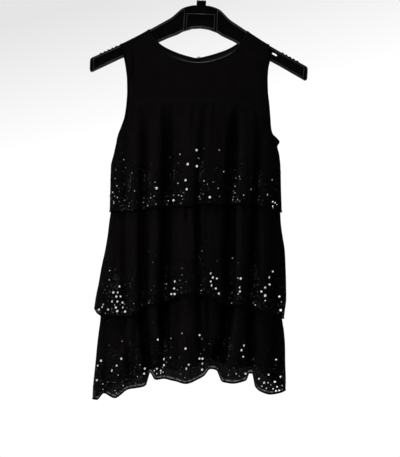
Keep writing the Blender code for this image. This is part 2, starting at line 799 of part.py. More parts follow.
def arm_recess_outline():
    """Outline of the recess in the right arm, a rim's width inside its edges."""
    under = column(ARM_UNDERSIDE, "drop")
    turns = sorted({row.out for row in ARM_TOP + ARM_UNDERSIDE})
    outs = [RIB_OUTER] + [out for out in turns if RIB_OUTER < out < ARM_RECESS_END]
    outs.append(ARM_RECESS_END)
    upper = [(out, ARM_TOP_CURVE(out) + RIM) for out in outs]
    lower = [(out, under(out) - RIM) for out in reversed(outs)]
    return upper + lower


def plate_recess_outline():
    """Outline of the recess in the middle plate, over the arch and below the hook's bore."""
    under = column(ARM_UNDERSIDE, "drop")
    half = [row.out for row in ARM_UNDERSIDE if 0 < row.out < RIB_INNER] + [RIB_INNER]
    outs = [-out for out in reversed(half)] + [0] + half
    lower = [(out, under(abs(out)) - RIM) for out in reversed(outs)]
    return [(-RIB_INNER, PLATE_RECESS_TOP), (RIB_INNER, PLATE_RECESS_TOP)] + lower


def slot_outline(side):
    """Round-ended slot through an arm."""
    centre = Vector((SLOT_AT, SLOT_DROP))
    along = Vector((math.cos(ARM_SLOPE), math.sin(ARM_SLOPE)))
    across = Vector((-along.y, along.x))
    radius = SLOT_HEIGHT / 2
    reach = SLOT_LENGTH / 2 - radius
    made = []
    for end in (1, -1):
        for i in range(SLOT_END_STEPS + 1):
            angle = math.pi * (i / SLOT_END_STEPS - end / 2)
            point = centre + along * (end * reach + radius * math.cos(angle))
            point += across * radius * math.sin(angle)
            made.append((side * point.x, point.y))
    return made


def cut(target, tools):
    """Take each tool's shape out of the target."""
    for tool in tools:
        modifier = target.modifiers.new(tool.name, "BOOLEAN")
        modifier.operation = "DIFFERENCE"
        modifier.object = tool


def build_hanger():
    """Moulded body with recessed webs, slots and a bore for the hook."""
    body = prism("hanger_body", hanger_outline(), HANGER_HALF_THICK)
    right = arm_recess_outline()
    left = [(-x, drop) for x, drop in right]
    half_depth = (HANGER_HALF_THICK - WEB_HALF_THICK + CUT_PAST) / 2
    tools = []
    for face, label in ((FRONT, "front"), (BACK, "back")):
        centre = face * (WEB_HALF_THICK + half_depth)
        tools.append(cutter(f"recess_right_{label}", right, half_depth, centre))
        tools.append(cutter(f"recess_left_{label}", left, half_depth, centre))
        tools.append(cutter(f"recess_middle_{label}", plate_recess_outline(), half_depth, centre))
    for side, label in ((1, "right"), (-1, "left")):
        tools.append(cutter(f"slot_{label}", slot_outline(side), HANGER_HALF_THICK + CUT_PAST))
    tools.append(bore())
    cut(body, tools)
    for item in [body] + tools:
        item.rotation_euler = (0, TURN, 0)


def bore():
    """Blind hole that the hook's stem sits in."""
    builder = bmesh.new()
    mouth = BOSS_TOP - BORE_MOUTH
    depth = STEM_END_DROP + SEAM_GAP - mouth
    radius = WIRE_RADIUS + SEAM_GAP
    bmesh.ops.create_cone(
        builder, cap_ends=True, segments=2 * WIRE_SIDES, radius1=radius, radius2=radius,
        depth=depth, matrix=Matrix.Translation((0, 0, -mouth - depth / 2)))
    made = finish_mesh("hook_bore", builder, MOULDED)
    made.hide_render = True
    made.display_type = "WIRE"
    return made


def hook_path():
    """Middle line of the hook's wire, from the bore to the open end."""
    radius = HOOK_INSIDE_RADIUS + WIRE_RADIUS
    centre = Vector((0, 0, -HOOK_INSIDE_RADIUS))
    join = centre + Vector((radius * math.cos(HOOK_JOIN), 0, -radius * math.sin(HOOK_JOIN)))
    bend_radius = radius * math.cos(HOOK_JOIN) / (1 - math.cos(HOOK_JOIN))
    bend_start = Vector((0, 0, join.z - bend_radius * math.sin(HOOK_JOIN)))
    path = [Vector((0, 0, -STEM_END_DROP))]
    for i in range(HOOK_BEND_STEPS + 1):
        angle = HOOK_JOIN * i / HOOK_BEND_STEPS
        path.append(bend_start + Vector((bend_radius * (1 - math.cos(angle)), 0,
                                         bend_radius * math.sin(angle))))
    for i in range(1, HOOK_TURN_STEPS + 1):
        angle = -HOOK_JOIN + (HOOK_END + HOOK_JOIN) * i / HOOK_TURN_STEPS
        path.append(centre + Vector((radius * math.cos(angle), 0, radius * math.sin(angle))))
    return path


def tube(name, path, radius, sides, paint):
    """Closed round bar along a path that lies in a plane of constant y."""
    builder = bmesh.new()
    rings = []
    for i, point in enumerate(path):
        ahead = path[min(i + 1, len(path) - 1)]
        behind = path[max(i - 1, 0)]
        along = (ahead - behind).normalized()
        across = along.cross(Vector((0, 1, 0))).normalized()
        up = across.cross(along)
        ring = []
        for k in range(sides):
            angle = 2 * math.pi * k / sides
            offset = across * math.cos(angle) + up * math.sin(angle)
            ring.append(builder.verts.new(point + offset * radius))
        rings.append(ring)
    for ring, after in zip(rings, rings[1:]):
        for k in range(sides):
            m = (k + 1) % sides
            builder.faces.new((ring[k], ring[m], after[m], after[k]))
    builder.faces.new(rings[0])
    builder.faces.new(rings[-1])
    return finish_mesh(name, builder, paint)


def build_hook():
    """Bent wire that hangs over the rod."""
    made = tube("hanger_hook", hook_path(), WIRE_RADIUS, WIRE_SIDES, STEEL)
    made.rotation_euler = (0, TURN, 0)


def build_closure():
    """Button and thread loop at the nape, outside the back."""
    yoke = YOKES[BACK]
    across = yoke.shape.across(BUTTON_X, BUTTON_DROP)
    seat = yoke.point(BACK, across, yoke.start(across) + BUTTON_BELOW_EDGE)
    lift = SEAM_GAP + BINDING_THICK + SEAM_GAP + BUTTON_THICK / 2
    centre = seat + Vector((0, lift, 0))
    builder = bmesh.new()
    bmesh.ops.create_uvsphere(
        builder, u_segments=BUTTON_SEGMENTS, v_segments=BUTTON_RINGS, radius=BUTTON_RADIUS)
    squash = Matrix.Diagonal((1, BUTTON_THICK / 2 / BUTTON_RADIUS, 1)) @ Matrix.Rotation(
        math.pi / 2, 3, "X")
    bmesh.ops.transform(builder, matrix=squash.to_4x4(), verts=builder.verts[:])
    bmesh.ops.translate(builder, vec=centre, verts=builder.verts[:])
    finish_mesh("nape_button", builder, BUTTON)
    reach = BUTTON_RADIUS + LOOP_CORD + SEAM_GAP
    root = centre - Vector((reach + LOOP_ROOT, 0, 0))
    path = [root + Vector((0, 0, LOOP_ROOT_SPREAD))]
    for i in range(LOOP_STEPS + 1):
        angle = (math.pi - LOOP_OPEN) * (1 - 2 * i / LOOP_STEPS)
        path.append(centre + Vector((reach * math.cos(angle), 0, reach * math.sin(angle))))
    path.append(root - Vector((0, 0, LOOP_ROOT_SPREAD)))
    tube("nape_loop", path, LOOP_CORD, LOOP_SIDES, BINDING)


def main():
    """Build the whole part."""
    clear_scene()
    build_yokes()
    build_tiers()
    build_neck_bindings()
    build_armhole_bindings()
    build_closure()
    build_hanger()
    build_hook()


main()
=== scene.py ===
# %% [markdown]
# # A three-tiered chiffon dress on its hanger
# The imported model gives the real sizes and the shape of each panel. This lesson dresses it:
# every panel is drawn again as thin cloth on the same curves, then come the bound edges, the
# rolled hems, the stitches, about four thousand sequins and the moulded hanger.

# %% Open the frame
import math
from collections import namedtuple

import bmesh
import bpy
import numpy as np
from mathutils import Matrix, Vector


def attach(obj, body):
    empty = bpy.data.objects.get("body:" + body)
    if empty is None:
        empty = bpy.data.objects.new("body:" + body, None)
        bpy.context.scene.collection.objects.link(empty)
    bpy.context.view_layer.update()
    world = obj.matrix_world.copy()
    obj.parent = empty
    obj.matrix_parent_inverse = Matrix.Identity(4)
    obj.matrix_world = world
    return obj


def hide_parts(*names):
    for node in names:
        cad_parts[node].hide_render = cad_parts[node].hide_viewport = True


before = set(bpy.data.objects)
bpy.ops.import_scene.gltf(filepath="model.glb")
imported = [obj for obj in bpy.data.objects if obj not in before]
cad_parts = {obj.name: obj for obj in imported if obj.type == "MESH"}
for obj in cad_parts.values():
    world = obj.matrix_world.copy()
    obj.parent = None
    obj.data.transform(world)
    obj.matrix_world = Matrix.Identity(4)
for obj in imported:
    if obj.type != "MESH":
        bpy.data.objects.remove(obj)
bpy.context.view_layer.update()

MM = 0.001
FRONT = -1
BACK = 1

# %% [markdown]
# ## The sizes that shape the cloth
# A garment is described best by a few tables: how wide and deep it is at each height, where
# its necklines and hems run, and where its folds fall. They are the same tables that the
# solid model is made from, in millimetres, and `drop` is a distance below the rod. Drawing the
# cloth from tables, and not by hand, keeps it on the solid and makes any fold easy to move.

# %% Sizes of the cloth and the hanger
SOLID_WALL = 1.2
SEAM_GAP = 0.3
CLOTH_THICK = 0.45
BACK_FLATNESS = 0.82
TUCK = 25.0
SEAM_EASE = 45.0
GATHER_RISE = 8.0
WANDER_WAVES = 3
GATHERS_ABOVE_HEM = 12.0
ACROSS_STEP = 0.002
SURFACE_STEP = 0.4
TURN = math.radians(2.3)
TURN_STEPS = 5
SHOULDER_FLAT = 5.0
SHOULDER_CORNER = 2.2
SHOULDER_ARC = SHOULDER_CORNER * math.pi / 2
SHOULDER_HALF = SHOULDER_FLAT + SHOULDER_CORNER
SHOULDER_EASE = 20.0
SHOULDER_LEVEL = 120.0
NECK_POINT_LEFT = -107.8
NECK_POINT_RIGHT = 90.4
NECK_STEP = 2 * ACROSS_STEP
SPLIT_LEVEL = 200.0
UNDERARM_DROP = 344.0


def table(kind, rows):
    """Rows of a table, each with the kind's named columns."""
    return [kind(*row) for row in rows]


Arm = namedtuple("Arm", "out drop")
ARM_TOP = table(Arm, [
    (0, 72), (12, 72), (30, 76), (40, 81), (47, 88), (57, 97.5), (74, 108.3), (96, 121.6),
    (132, 142.9), (153, 154.2), (213, 184.4),
])
Level = namedtuple("Level", "drop left right edge depth swell")
BODY = table(Level, [
    (118, -165, 132, 7.2, 7.2, 1.0),
    (140, -165, 132, 7.2, 7.2, 1.0),
    (150, -164.6, 132.4, 7.2, 7.6, 1.0),
    (162, -161.6, 134, 7.2, 8.4, 1.0),
    (174, -157.2, 134.9, 7.2, 9.6, 1.0),
    (184, -155, 133.2, 7.5, 11, 1.0),
    (196, -153, 130.6, 8, 13, 1.0),
    (220, -150.4, 129, 9.5, 17, 1.0),
    (244, -150, 129.6, 11, 20.5, 1.0),
    (268, -151.6, 132.2, 12, 24, 0.95),
    (292, -155, 134.2, 11.5, 27.5, 0.85),
    (316, -163, 136, 9.6, 31, 0.72),
    (328, -168, 139.4, 7.6, 32.5, 0.64),
    (337, -170.5, 148.5, 4.6, 33.5, 0.57),
    (344, -172, 153.2, 0.15, 34.5, 0.5),
    (352, -173.8, 148.8, 0.15, 35.5, 0.5),
    (368, -177.4, 152.4, 0.15, 37.5, 0.5),
    (392, -183, 155, 0.15, 40.5, 0.5),
    (440, -184.4, 156.2, 0.15, 46, 0.5),
    (484, -185.6, 157.6, 0.15, 51.5, 0.5),
])
SKIRT_2 = table(Level, [
    (450, -181.5, 153.2, 0.15, 42.5, 0.5),
    (484, -183.6, 154.6, 0.15, 46.5, 0.5),
    (504, -186.4, 155.6, 0.15, 48.5, 0.5),
    (528, -189.2, 158.6, 0.15, 51, 0.5),
    (560, -194.6, 163.6, 0.15, 54, 0.5),
    (592, -201.6, 165.2, 0.15, 57, 0.5),
    (624, -207.2, 166.2, 0.15, 60.5, 0.5),
    (656, -213.6, 166.6, 0.15, 64, 0.5),
    (676, -216, 164.2, 0.15, 66, 0.5),
    (698, -215, 161.6, 0.15, 68, 0.5),
])
SKIRT_3 = table(Level, [
    (640, -205.5, 157, 0.15, 52.5, 0.5),
    (688, -203.6, 157.4, 0.15, 56.5, 0.5),
    (704, -204.8, 159.2, 0.15, 59, 0.5),
    (720, -207, 161.8, 0.15, 61.5, 0.5),
    (752, -210.8, 164.2, 0.15, 66, 0.5),
    (784, -213.8, 164.6, 0.15, 70, 0.5),
    (816, -217.2, 165.6, 0.15, 73, 0.5),
    (836, -219, 165.2, 0.15, 75, 0.5),
    (862, -219.8, 164.6, 0.15, 77.5, 0.5),
])
print("levels", len(BODY), len(SKIRT_2), len(SKIRT_3))

# %% Necklines, seam and hems
Line = namedtuple("Line", "x drop")
FRONT_NECKLINE = table(Line, [
    (-105.5, 125), (-98, 134), (-88.4, 145.5), (-72.4, 166), (-48, 178.5), (-22.8, 184.8),
    (-8, 186), (7.6, 184.8), (34, 177.5), (59.6, 165.6), (73, 149.5), (80.5, 139.5), (88, 128.5),
])
BACK_NECKLINE = table(Line, [
    (-105.5, 125), (-98.5, 134), (-90, 143.5), (-75.6, 154), (-63.6, 160), (-48.8, 166),
    (-29.4, 172), (-12, 175.5), (7.4, 172), (28.6, 166), (45.8, 160), (58.2, 154), (72, 145),
    (80.5, 137), (88, 128.5),
])
Pattern = namedtuple("Pattern", "across drop")
YOKE_SEAM = table(Pattern, [
    (0, 274), (0.15, 264), (0.45, 262), (0.7, 266), (0.88, 277), (1, 296),
])
HEM_1_FRONT = table(Line, [
    (-185, 482), (-130, 481), (-104, 475), (-64, 472.5), (-28, 471.5), (2, 467), (98, 467),
    (116, 474), (157, 483),
])
HEM_1_BACK = table(Line, [
    (-185, 482), (-110, 476), (-10, 470), (90, 474), (157, 483),
])
HEM_2_FRONT = table(Line, [
    (-215.5, 675), (-209, 684), (-199, 689), (-148, 689), (-130, 680), (-108, 666), (-82, 663),
    (-60, 654), (-42, 646), (4, 646), (20, 656), (44, 666), (98, 667), (122, 682), (161, 695),
])
HEM_2_BACK = table(Line, [
    (-215.5, 675), (-190, 682), (-130, 668), (-70, 661), (-10, 650), (60, 658), (120, 672),
    (161, 695),
])
HEM_3_FRONT = table(Line, [
    (-219.6, 855), (-211, 855), (-196, 841), (-174, 849), (-148, 832), (-113, 824), (-104.5, 798),
    (-92, 812), (-76, 810), (-55, 814), (-34, 819), (-6, 809), (2, 804), (14, 791), (27, 794),
    (39, 816), (60, 819), (85, 814), (91, 801), (98, 801), (104, 827), (118, 838), (136, 843),
    (154, 841), (164.6, 838),
])
HEM_3_BACK = table(Line, [
    (-219.6, 855), (-200, 846), (-176, 830), (-150, 824), (-120, 806), (-88, 796), (-50, 803),
    (-14, 794), (24, 780), (60, 800), (96, 792), (130, 815), (150, 828), (164.6, 838),
])

# %% Folds and gathers
Fold = namedtuple("Fold", "seam_x x_1 x_2 x_3 half_width seam_out out_1 out_2 out_3")
FRONT_FOLDS = table(Fold, [
    (-116, -118, -118, -105, 14, -2, -9, -12, -11),
    (-70, -72, -75, -80, 17, -5, -10, -12, -5),
    (4, -10, -8, -4, 11, -1, -5, -4, -2),
    (64, 54, 51, 22, 19, -6, -10, -12, -17),
    (116, 104, 96, 95, 14, -3, -9, -12, -13),
    (136, 142, 144, 140, 9, 0, -3, -4, -3),
    (-150, -158, -156, -144, 10, 0, -4, -4, -5),
    (-190, -190, -190, -194, 9, 0, 0, -2, -4),
    (-28, -32, -30, -30, 26, 3, 3, 4, 7),
    (86, 78, 72, 60, 17, 2, 4, 5, 7),
    (128, 125, 124, 124, 16, 0, 3, 5, 6),
    (-140, -140, -138, -172, 15, 0, 3, 4, 6),
    (-93, -95, -97, -64, 13, 1, 3, 4, 5),
])
BACK_FOLDS = table(Fold, [
    (-130, -132, -130, -128, 15, -2, -8, -10, -12),
    (-84, -88, -92, -90, 18, -4, -9, -11, -9),
    (-34, -36, -40, -46, 16, -3, -7, -9, -12),
    (18, 16, 14, 12, 20, -4, -9, -12, -14),
    (70, 72, 74, 76, 16, -3, -8, -10, -12),
    (112, 116, 118, 118, 14, -2, -6, -9, -9),
    (-108, -110, -111, -108, 12, 1, 3, 4, 6),
    (-60, -62, -66, -68, 14, 1, 4, 5, 6),
    (-8, -10, -13, -16, 15, 2, 4, 6, 7),
    (44, 44, 44, 45, 15, 1, 3, 5, 7),
    (93, 95, 97, 98, 13, 1, 3, 4, 5),
])
FOLD_LEVELS = (270, 475, 668, 812)
Gathers = namedtuple("Gathers", "count height reach drift")
GATHERS_1 = Gathers(14, 1.1, 70, 0.3)
GATHERS_2 = Gathers(15, 1.6, 80, 0.8)
GATHERS_3 = Gathers(13, 1.6, 85, 0.5)
print("folds", len(FRONT_FOLDS), len(BACK_FOLDS))

# %% [markdown]
# ## Curves that never overshoot
# A smooth curve through table rows can bulge between two rows. This kind, a cubic with
# limited slopes, stays between them, so a panel is never wider than the real one. NumPy works
# out whole grids of points at once, which keeps the script quick.

# %% Curves through a table
def smooth(share):
    """Ease from 0 to 1."""
    held = np.clip(share, 0, 1)
    return held * held * (3 - 2 * held)


def curve(pairs):
    """Function of an array through (place, value) pairs that never runs past a value."""
    places = np.array([place for place, _ in pairs], float)
    values = np.array([value for _, value in pairs], float)
    rises = np.diff(values) / np.diff(places)
    slopes = np.zeros(len(values))
    slopes[0] = rises[0]
    slopes[-1] = rises[-1]
    for i in range(1, len(rises)):
        before, after = rises[i - 1], rises[i]
        if before * after > 0:
            slopes[i] = 2 * before * after / (before + after)

    def value(at):
        i = np.clip(np.searchsorted(places, at) - 1, 0, len(places) - 2)
        span = places[i + 1] - places[i]
        t = np.clip((at - places[i]) / span, 0, 1)
        start = (1 + 2 * t) * (1 - t) ** 2 * values[i] + t * (1 - t) ** 2 * span * slopes[i]
        end = t * t * (3 - 2 * t) * values[i + 1] + t * t * (t - 1) * span * slopes[i + 1]
        return start + end

    return value


def column(rows, name):
    """Curve of one named column of a table, over its first column."""
    return curve([(row[0], getattr(row, name)) for row in rows])


def unit(vectors):
    """Vectors of length one."""
    return vectors / np.linalg.norm(vectors, axis=-1, keepdims=True)


# %% Section of the body at every height
class Shape:
    """Curves of a Level table."""

    def __init__(self, levels):
        for name in Level._fields[1:]:
            setattr(self, name, column(levels, name))

    def x(self, across, drop):
        """World x of a share of the width at a height."""
        left = self.left(drop)
        return left + (self.right(drop) - left) * across

    def across(self, x, drop):
        """Share of the width at which x lies at a height."""
        left = self.left(drop)
        return (x - left) / (self.right(drop) - left)

    def half_depth(self, side, across, drop):
        """Distance of the smooth outer face from the plane y = 0."""
        edge = self.edge(drop)
        bulge = np.maximum(4 * across * (1 - across), 0) ** self.swell(drop)
        flat = BACK_FLATNESS if side == BACK else 1.0
        return edge + (np.maximum(self.depth(drop) * flat, edge) - edge) * bulge


def line_across(shape, rows):
    """Curve of a line's drop over the share of the width."""
    return curve([(float(shape.across(row.x, row.drop)), row.drop) for row in rows])


# %% [markdown]
# ## Folds and creases
# Loose cloth hangs in folds that start at a seam and widen towards the hem, and finer creases
# lie between them. Each is one row of a table, a cosine trough or ridge with its own place,
# width, depth and slant. A cloth simulation could find such folds by itself, but then they
# would not fall where this dress has them, so they are listed one by one.

# %% The large folds
def fold_curves(folds):
    """Place and height curves of each fold, over the drop."""
    made = []
    for fold in folds:
        places = (fold.seam_x, fold.x_1, fold.x_2, fold.x_3)
        heights = (fold.seam_out, fold.out_1, fold.out_2, fold.out_3)
        made.append((curve(list(zip(FOLD_LEVELS, places))),
                     curve(list(zip(FOLD_LEVELS, heights))), fold.half_width))
    return made


FOLDS = {FRONT: fold_curves(FRONT_FOLDS), BACK: fold_curves(BACK_FOLDS)}


def bump(offset):
    """Soft bump, 1 in the middle and 0 from an offset of 1."""
    return np.cos(math.pi / 2 * np.clip(offset, -1, 1)) ** 2


def relief(side, x, drop):
    """How far the folds stand out at a place."""
    return sum(height(drop) * bump((x - place(drop)) / half) for place, height, half in FOLDS[side])


def gathered(gathers, across, below):
    """Height of the small gathers at a distance below the seam that holds them."""
    fade = smooth(below / GATHER_RISE) * (1 - smooth(below / gathers.reach))
    wander = gathers.drift * np.sin(2 * math.pi * WANDER_WAVES * across + gathers.count)
    return gathers.height * fade * np.sin(2 * math.pi * gathers.count * across + wander)


# %% The fine creases
Crease = namedtuple("Crease", "x start end half_width out lean")
CREASES = {
    ("yoke", FRONT): table(Crease, [
        (-135, 152, 236, 6, -1.9, -7), (-127, 158, 214, 5, 0.9, -4), (118, 170, 250, 7, -1.2, 5),
        (-84, 186, 262, 13, -0.8, -6), (58, 196, 266, 15, -0.9, 8), (-34, 204, 262, 12, 0.6, 3),
        (20, 198, 262, 14, -0.5, -3), (104, 158, 214, 5, 0.7, 2),
    ]),
    ("yoke", BACK): table(Crease, [
        (-128, 160, 244, 7, -1.4, -5), (112, 166, 250, 8, -1.3, 5), (-70, 186, 262, 12, -0.8, -5),
        (64, 190, 264, 12, -0.8, 6), (-30, 196, 258, 9, 0.6, 2),
    ]),
    ("tier_1", FRONT): table(Crease, [
        (-146, 292, 400, 6, -1.2, -10), (-131, 272, 420, 5, 0.9, -3), (-106, 268, 356, 4, -1.0, 2),
        (-98, 300, 470, 6, 0.8, -2), (-84, 266, 390, 4, 1.1, 1), (-58, 270, 452, 5, -1.2, -3),
        (-45, 264, 330, 5, 0.6, 4), (-18, 266, 374, 6, -0.8, -4), (16, 270, 470, 7, 0.8, -5),
        (31, 268, 350, 5, -0.7, 3), (44, 280, 420, 4, 0.9, -2), (70, 270, 470, 5, -1.3, -5),
        (92, 276, 372, 6, -0.8, -4), (101, 300, 466, 4, 0.8, -2), (121, 318, 430, 4, -1.1, 3),
        (134, 350, 470, 5, 0.9, 4), (-165, 362, 474, 4, -0.9, -2), (-172, 380, 470, 5, 0.9, -1),
    ]),
    ("tier_1", BACK): table(Crease, [
        (-148, 290, 430, 6, -1.1, -6), (-118, 274, 400, 5, 0.9, -3), (-98, 270, 452, 5, -1.1, -2),
        (-72, 268, 380, 5, 1.0, 0), (-50, 272, 430, 6, -0.9, 2), (-22, 268, 352, 5, 0.8, -1),
        (6, 270, 470, 6, -1.0, 0), (32, 266, 400, 5, 0.9, 3), (58, 272, 440, 5, -1.2, 2),
        (84, 276, 380, 5, 0.8, 2), (104, 282, 462, 6, -1.0, 3), (130, 330, 460, 5, -0.9, 3),
    ]),
    ("tier_2", FRONT): table(Crease, [
        (-166, 478, 610, 5, -1.3, -8), (-178, 500, 668, 6, 1.0, -7), (-150, 470, 560, 4, 1.1, -5),
        (-137, 462, 676, 5, -1.0, -2), (-111, 466, 590, 4, 1.0, -1), (-103, 458, 660, 4, -1.3, -2),
        (-86, 460, 560, 3, 1.0, 0), (-66, 458, 520, 4, -1.4, -3), (-52, 462, 606, 5, 0.9, -3),
        (-33, 456, 540, 5, -1.8, 4), (-13, 458, 560, 5, -2.2, 12), (-24, 470, 600, 5, 1.2, 8),
        (12, 460, 640, 6, 0.9, 2), (34, 456, 600, 4, -1.0, 4), (43, 462, 650, 3, 1.2, 3),
        (64, 458, 620, 4, -1.2, 0), (78, 462, 660, 4, 1.1, -1), (88, 470, 600, 4, -0.9, 2),
        (110, 470, 660, 5, -1.1, 3), (119, 480, 640, 4, 1.0, 3), (136, 480, 690, 4, -1.5, 2),
        (150, 500, 690, 4, 1.2, 2), (-199, 560, 680, 6, -1.1, -6),
    ]),
    ("tier_2", BACK): table(Crease, [
        (-172, 482, 640, 6, -1.2, -8), (-146, 466, 580, 5, 1.0, -4), (-116, 462, 650, 5, -1.2, -2),
        (-98, 466, 570, 4, 1.0, 0), (-76, 458, 640, 5, -1.1, -2), (-52, 464, 560, 5, 0.9, 1),
        (-26, 458, 650, 5, -1.2, 2), (-2, 462, 580, 5, 1.0, 0), (28, 456, 640, 5, -1.1, 3),
        (56, 462, 560, 5, 1.0, 1), (86, 466, 660, 5, -1.2, 2), (106, 470, 600, 4, 0.9, 2),
        (134, 480, 680, 5, -1.2, 3),
    ]),
    ("tier_3", FRONT): table(Crease, [
        (-193, 664, 846, 3, -2.2, -2), (-184, 668, 800, 4, 1.8, -4), (-163, 664, 780, 5, -0.9, -3),
        (-152, 700, 830, 4, 1.0, -6), (-132, 660, 826, 5, -1.3, -2), (-119, 668, 790, 4, -1.4, 1),
        (-92, 650, 800, 5, 1.1, 4), (-75, 646, 812, 5, -1.6, -2), (-58, 640, 720, 4, 1.0, -3),
        (-46, 660, 816, 6, -0.9, -1), (-24, 630, 740, 5, 0.8, 2), (-10, 632, 806, 6, -1.0, 2),
        (8, 640, 792, 5, -1.6, 3), (18, 636, 720, 5, 1.2, -2), (33, 650, 800, 5, -1.4, 4),
        (49, 652, 812, 5, 1.2, 2), (66, 648, 760, 4, -1.0, -1), (82, 652, 814, 5, 1.0, 4),
        (94, 650, 800, 4, -1.5, 2), (108, 656, 830, 5, 1.1, 3), (123, 662, 760, 4, -0.9, 3),
        (134, 668, 838, 5, -1.1, 2), (148, 676, 836, 5, 1.0, 2), (-205, 740, 852, 4, 1.0, -5),
    ]),
    ("tier_3", BACK): table(Crease, [
        (-186, 670, 830, 6, -1.3, -6), (-158, 664, 760, 5, 1.1, -4), (-134, 660, 810, 5, -1.2, -2),
        (-104, 656, 760, 5, 1.1, 2), (-78, 650, 800, 5, -1.2, -1), (-50, 648, 740, 5, 1.0, -2),
        (-28, 640, 790, 5, -1.3, 1), (0, 640, 720, 6, 1.1, 0), (26, 640, 780, 5, -1.3, 2),
        (56, 648, 760, 5, 1.0, 2), (88, 652, 790, 5, -1.2, 2), (112, 660, 780, 5, 1.0, 3),
        (140, 670, 824, 5, -1.2, 3),
    ]),
}
LEAN_LENGTH = 100.0
CREASE_START_EASE = 26.0
CREASE_END_EASE = 44.0


def creased(name, side, x, drop):
    """How far the fine creases of a panel stand out at a place."""
    total = 0.0
    for crease in CREASES[name, side]:
        length = smooth((drop - crease.start) / CREASE_START_EASE)
        length = length * (1 - smooth((drop - crease.end + CREASE_END_EASE) / CREASE_END_EASE))
        middle = crease.x + crease.lean * (drop - crease.start) / LEAN_LENGTH
        total = total + crease.out * length * bump((x - middle) / crease.half_width)
    return total


print("creases", sum(len(rows) for rows in CREASES.values()))


# %% [markdown]
# ## The tiers as surfaces
# Each flounce is sewn inside the hem of the one above. Its top edge therefore follows the
# inside of the upper flounce, and only below it does it swing out to its own shape.

# %% Surface of a tier
def seam_line(across):
    """Drop of the seam between yoke and first tier."""
    return SEAM_CURVE(across)


class Tier:
    """One gathered tier: its own shape, tucked under the tier above."""

    def __init__(self, name, levels, hems, gathers, above=None):
        self.name = name
        self.shape = Shape(levels)
        self.gathers = gathers
        self.above = above
        self.hems = {side: line_across(self.shape, hems[side]) for side in (FRONT, BACK)}

    def top(self, side, across):
        """Drop of the top edge."""
        if self.above is None:
            return seam_line(across) + SEAM_GAP / 2
        return self.above.hems[side](across) - TUCK

    def own_point(self, side, across, drop):
        """Point of the tier's own shape, without the tuck."""
        below = drop - self.top(side, across)
        window = np.sqrt(np.maximum(0, 4 * across * (1 - across)))
        x = self.shape.x(across, drop)
        out = self.shape.half_depth(side, across, drop)
        ease = smooth(below / SEAM_EASE) if self.above is None else 1.0
        out = out + window * ease * relief(side, x, drop)
        start = 0.0 if self.above is None else TUCK - GATHERS_ABOVE_HEM
        out = out + window * gathered(self.gathers, across, below - start)
        out = out + window * creased(self.name, side, x, drop)
        return np.stack(np.broadcast_arrays(x, side * out, -drop), axis=-1)

    def point(self, side, across, drop):
        """Point of the outer face."""
        own = self.own_point(side, across, drop)
        if self.above is None:
            return own
        share = smooth((drop - self.top(side, across)) / TUCK)[..., None]
        if np.all(share >= 1):
            return own
        held = self.above.point(side, across, drop)
        held = held - self.above.normal(side, across, drop) * (SOLID_WALL + SEAM_GAP)
        return held * (1 - share) + own * share

    def normal(self, side, across, drop):
        """Direction out of the cloth."""
        low = np.maximum(0, across - ACROSS_STEP)
        high = np.minimum(1, across + ACROSS_STEP)
        along = self.point(side, high, drop) - self.point(side, low, drop)
        down = self.point(side, across, drop + SURFACE_STEP)
        down = down - self.point(side, across, drop - SURFACE_STEP)
        out = unit(np.cross(along, down) * side)
        closed = self.shape.edge(drop) < 1
        for end, direction in ((0.0, -1.0), (1.0, 1.0)):
            at_seam = (np.abs(across - end) < ACROSS_STEP / 4) & closed
            out = np.where(at_seam[..., None], np.array([direction, 0.0, 0.0]), out)
        return out


# %% [markdown]
# ## The yoke over the hanger
# The plain top lies flat over the hanger's arms, turns down their faces and then eases out
# over the chest. A point is found by its share of the width and by the length of cloth from
# the shoulder line down to it.

# %% Surface of the yoke
def hanger_top_drop(x):
    """Drop of the hanger's top edge at a world x, with the hanger hanging askew."""
    out = x
    for _ in range(TURN_STEPS):
        out = (x + ARM_TOP_CURVE(np.abs(out)) * math.sin(TURN)) / math.cos(TURN)
    return out * math.sin(TURN) + ARM_TOP_CURVE(np.abs(out)) * math.cos(TURN)


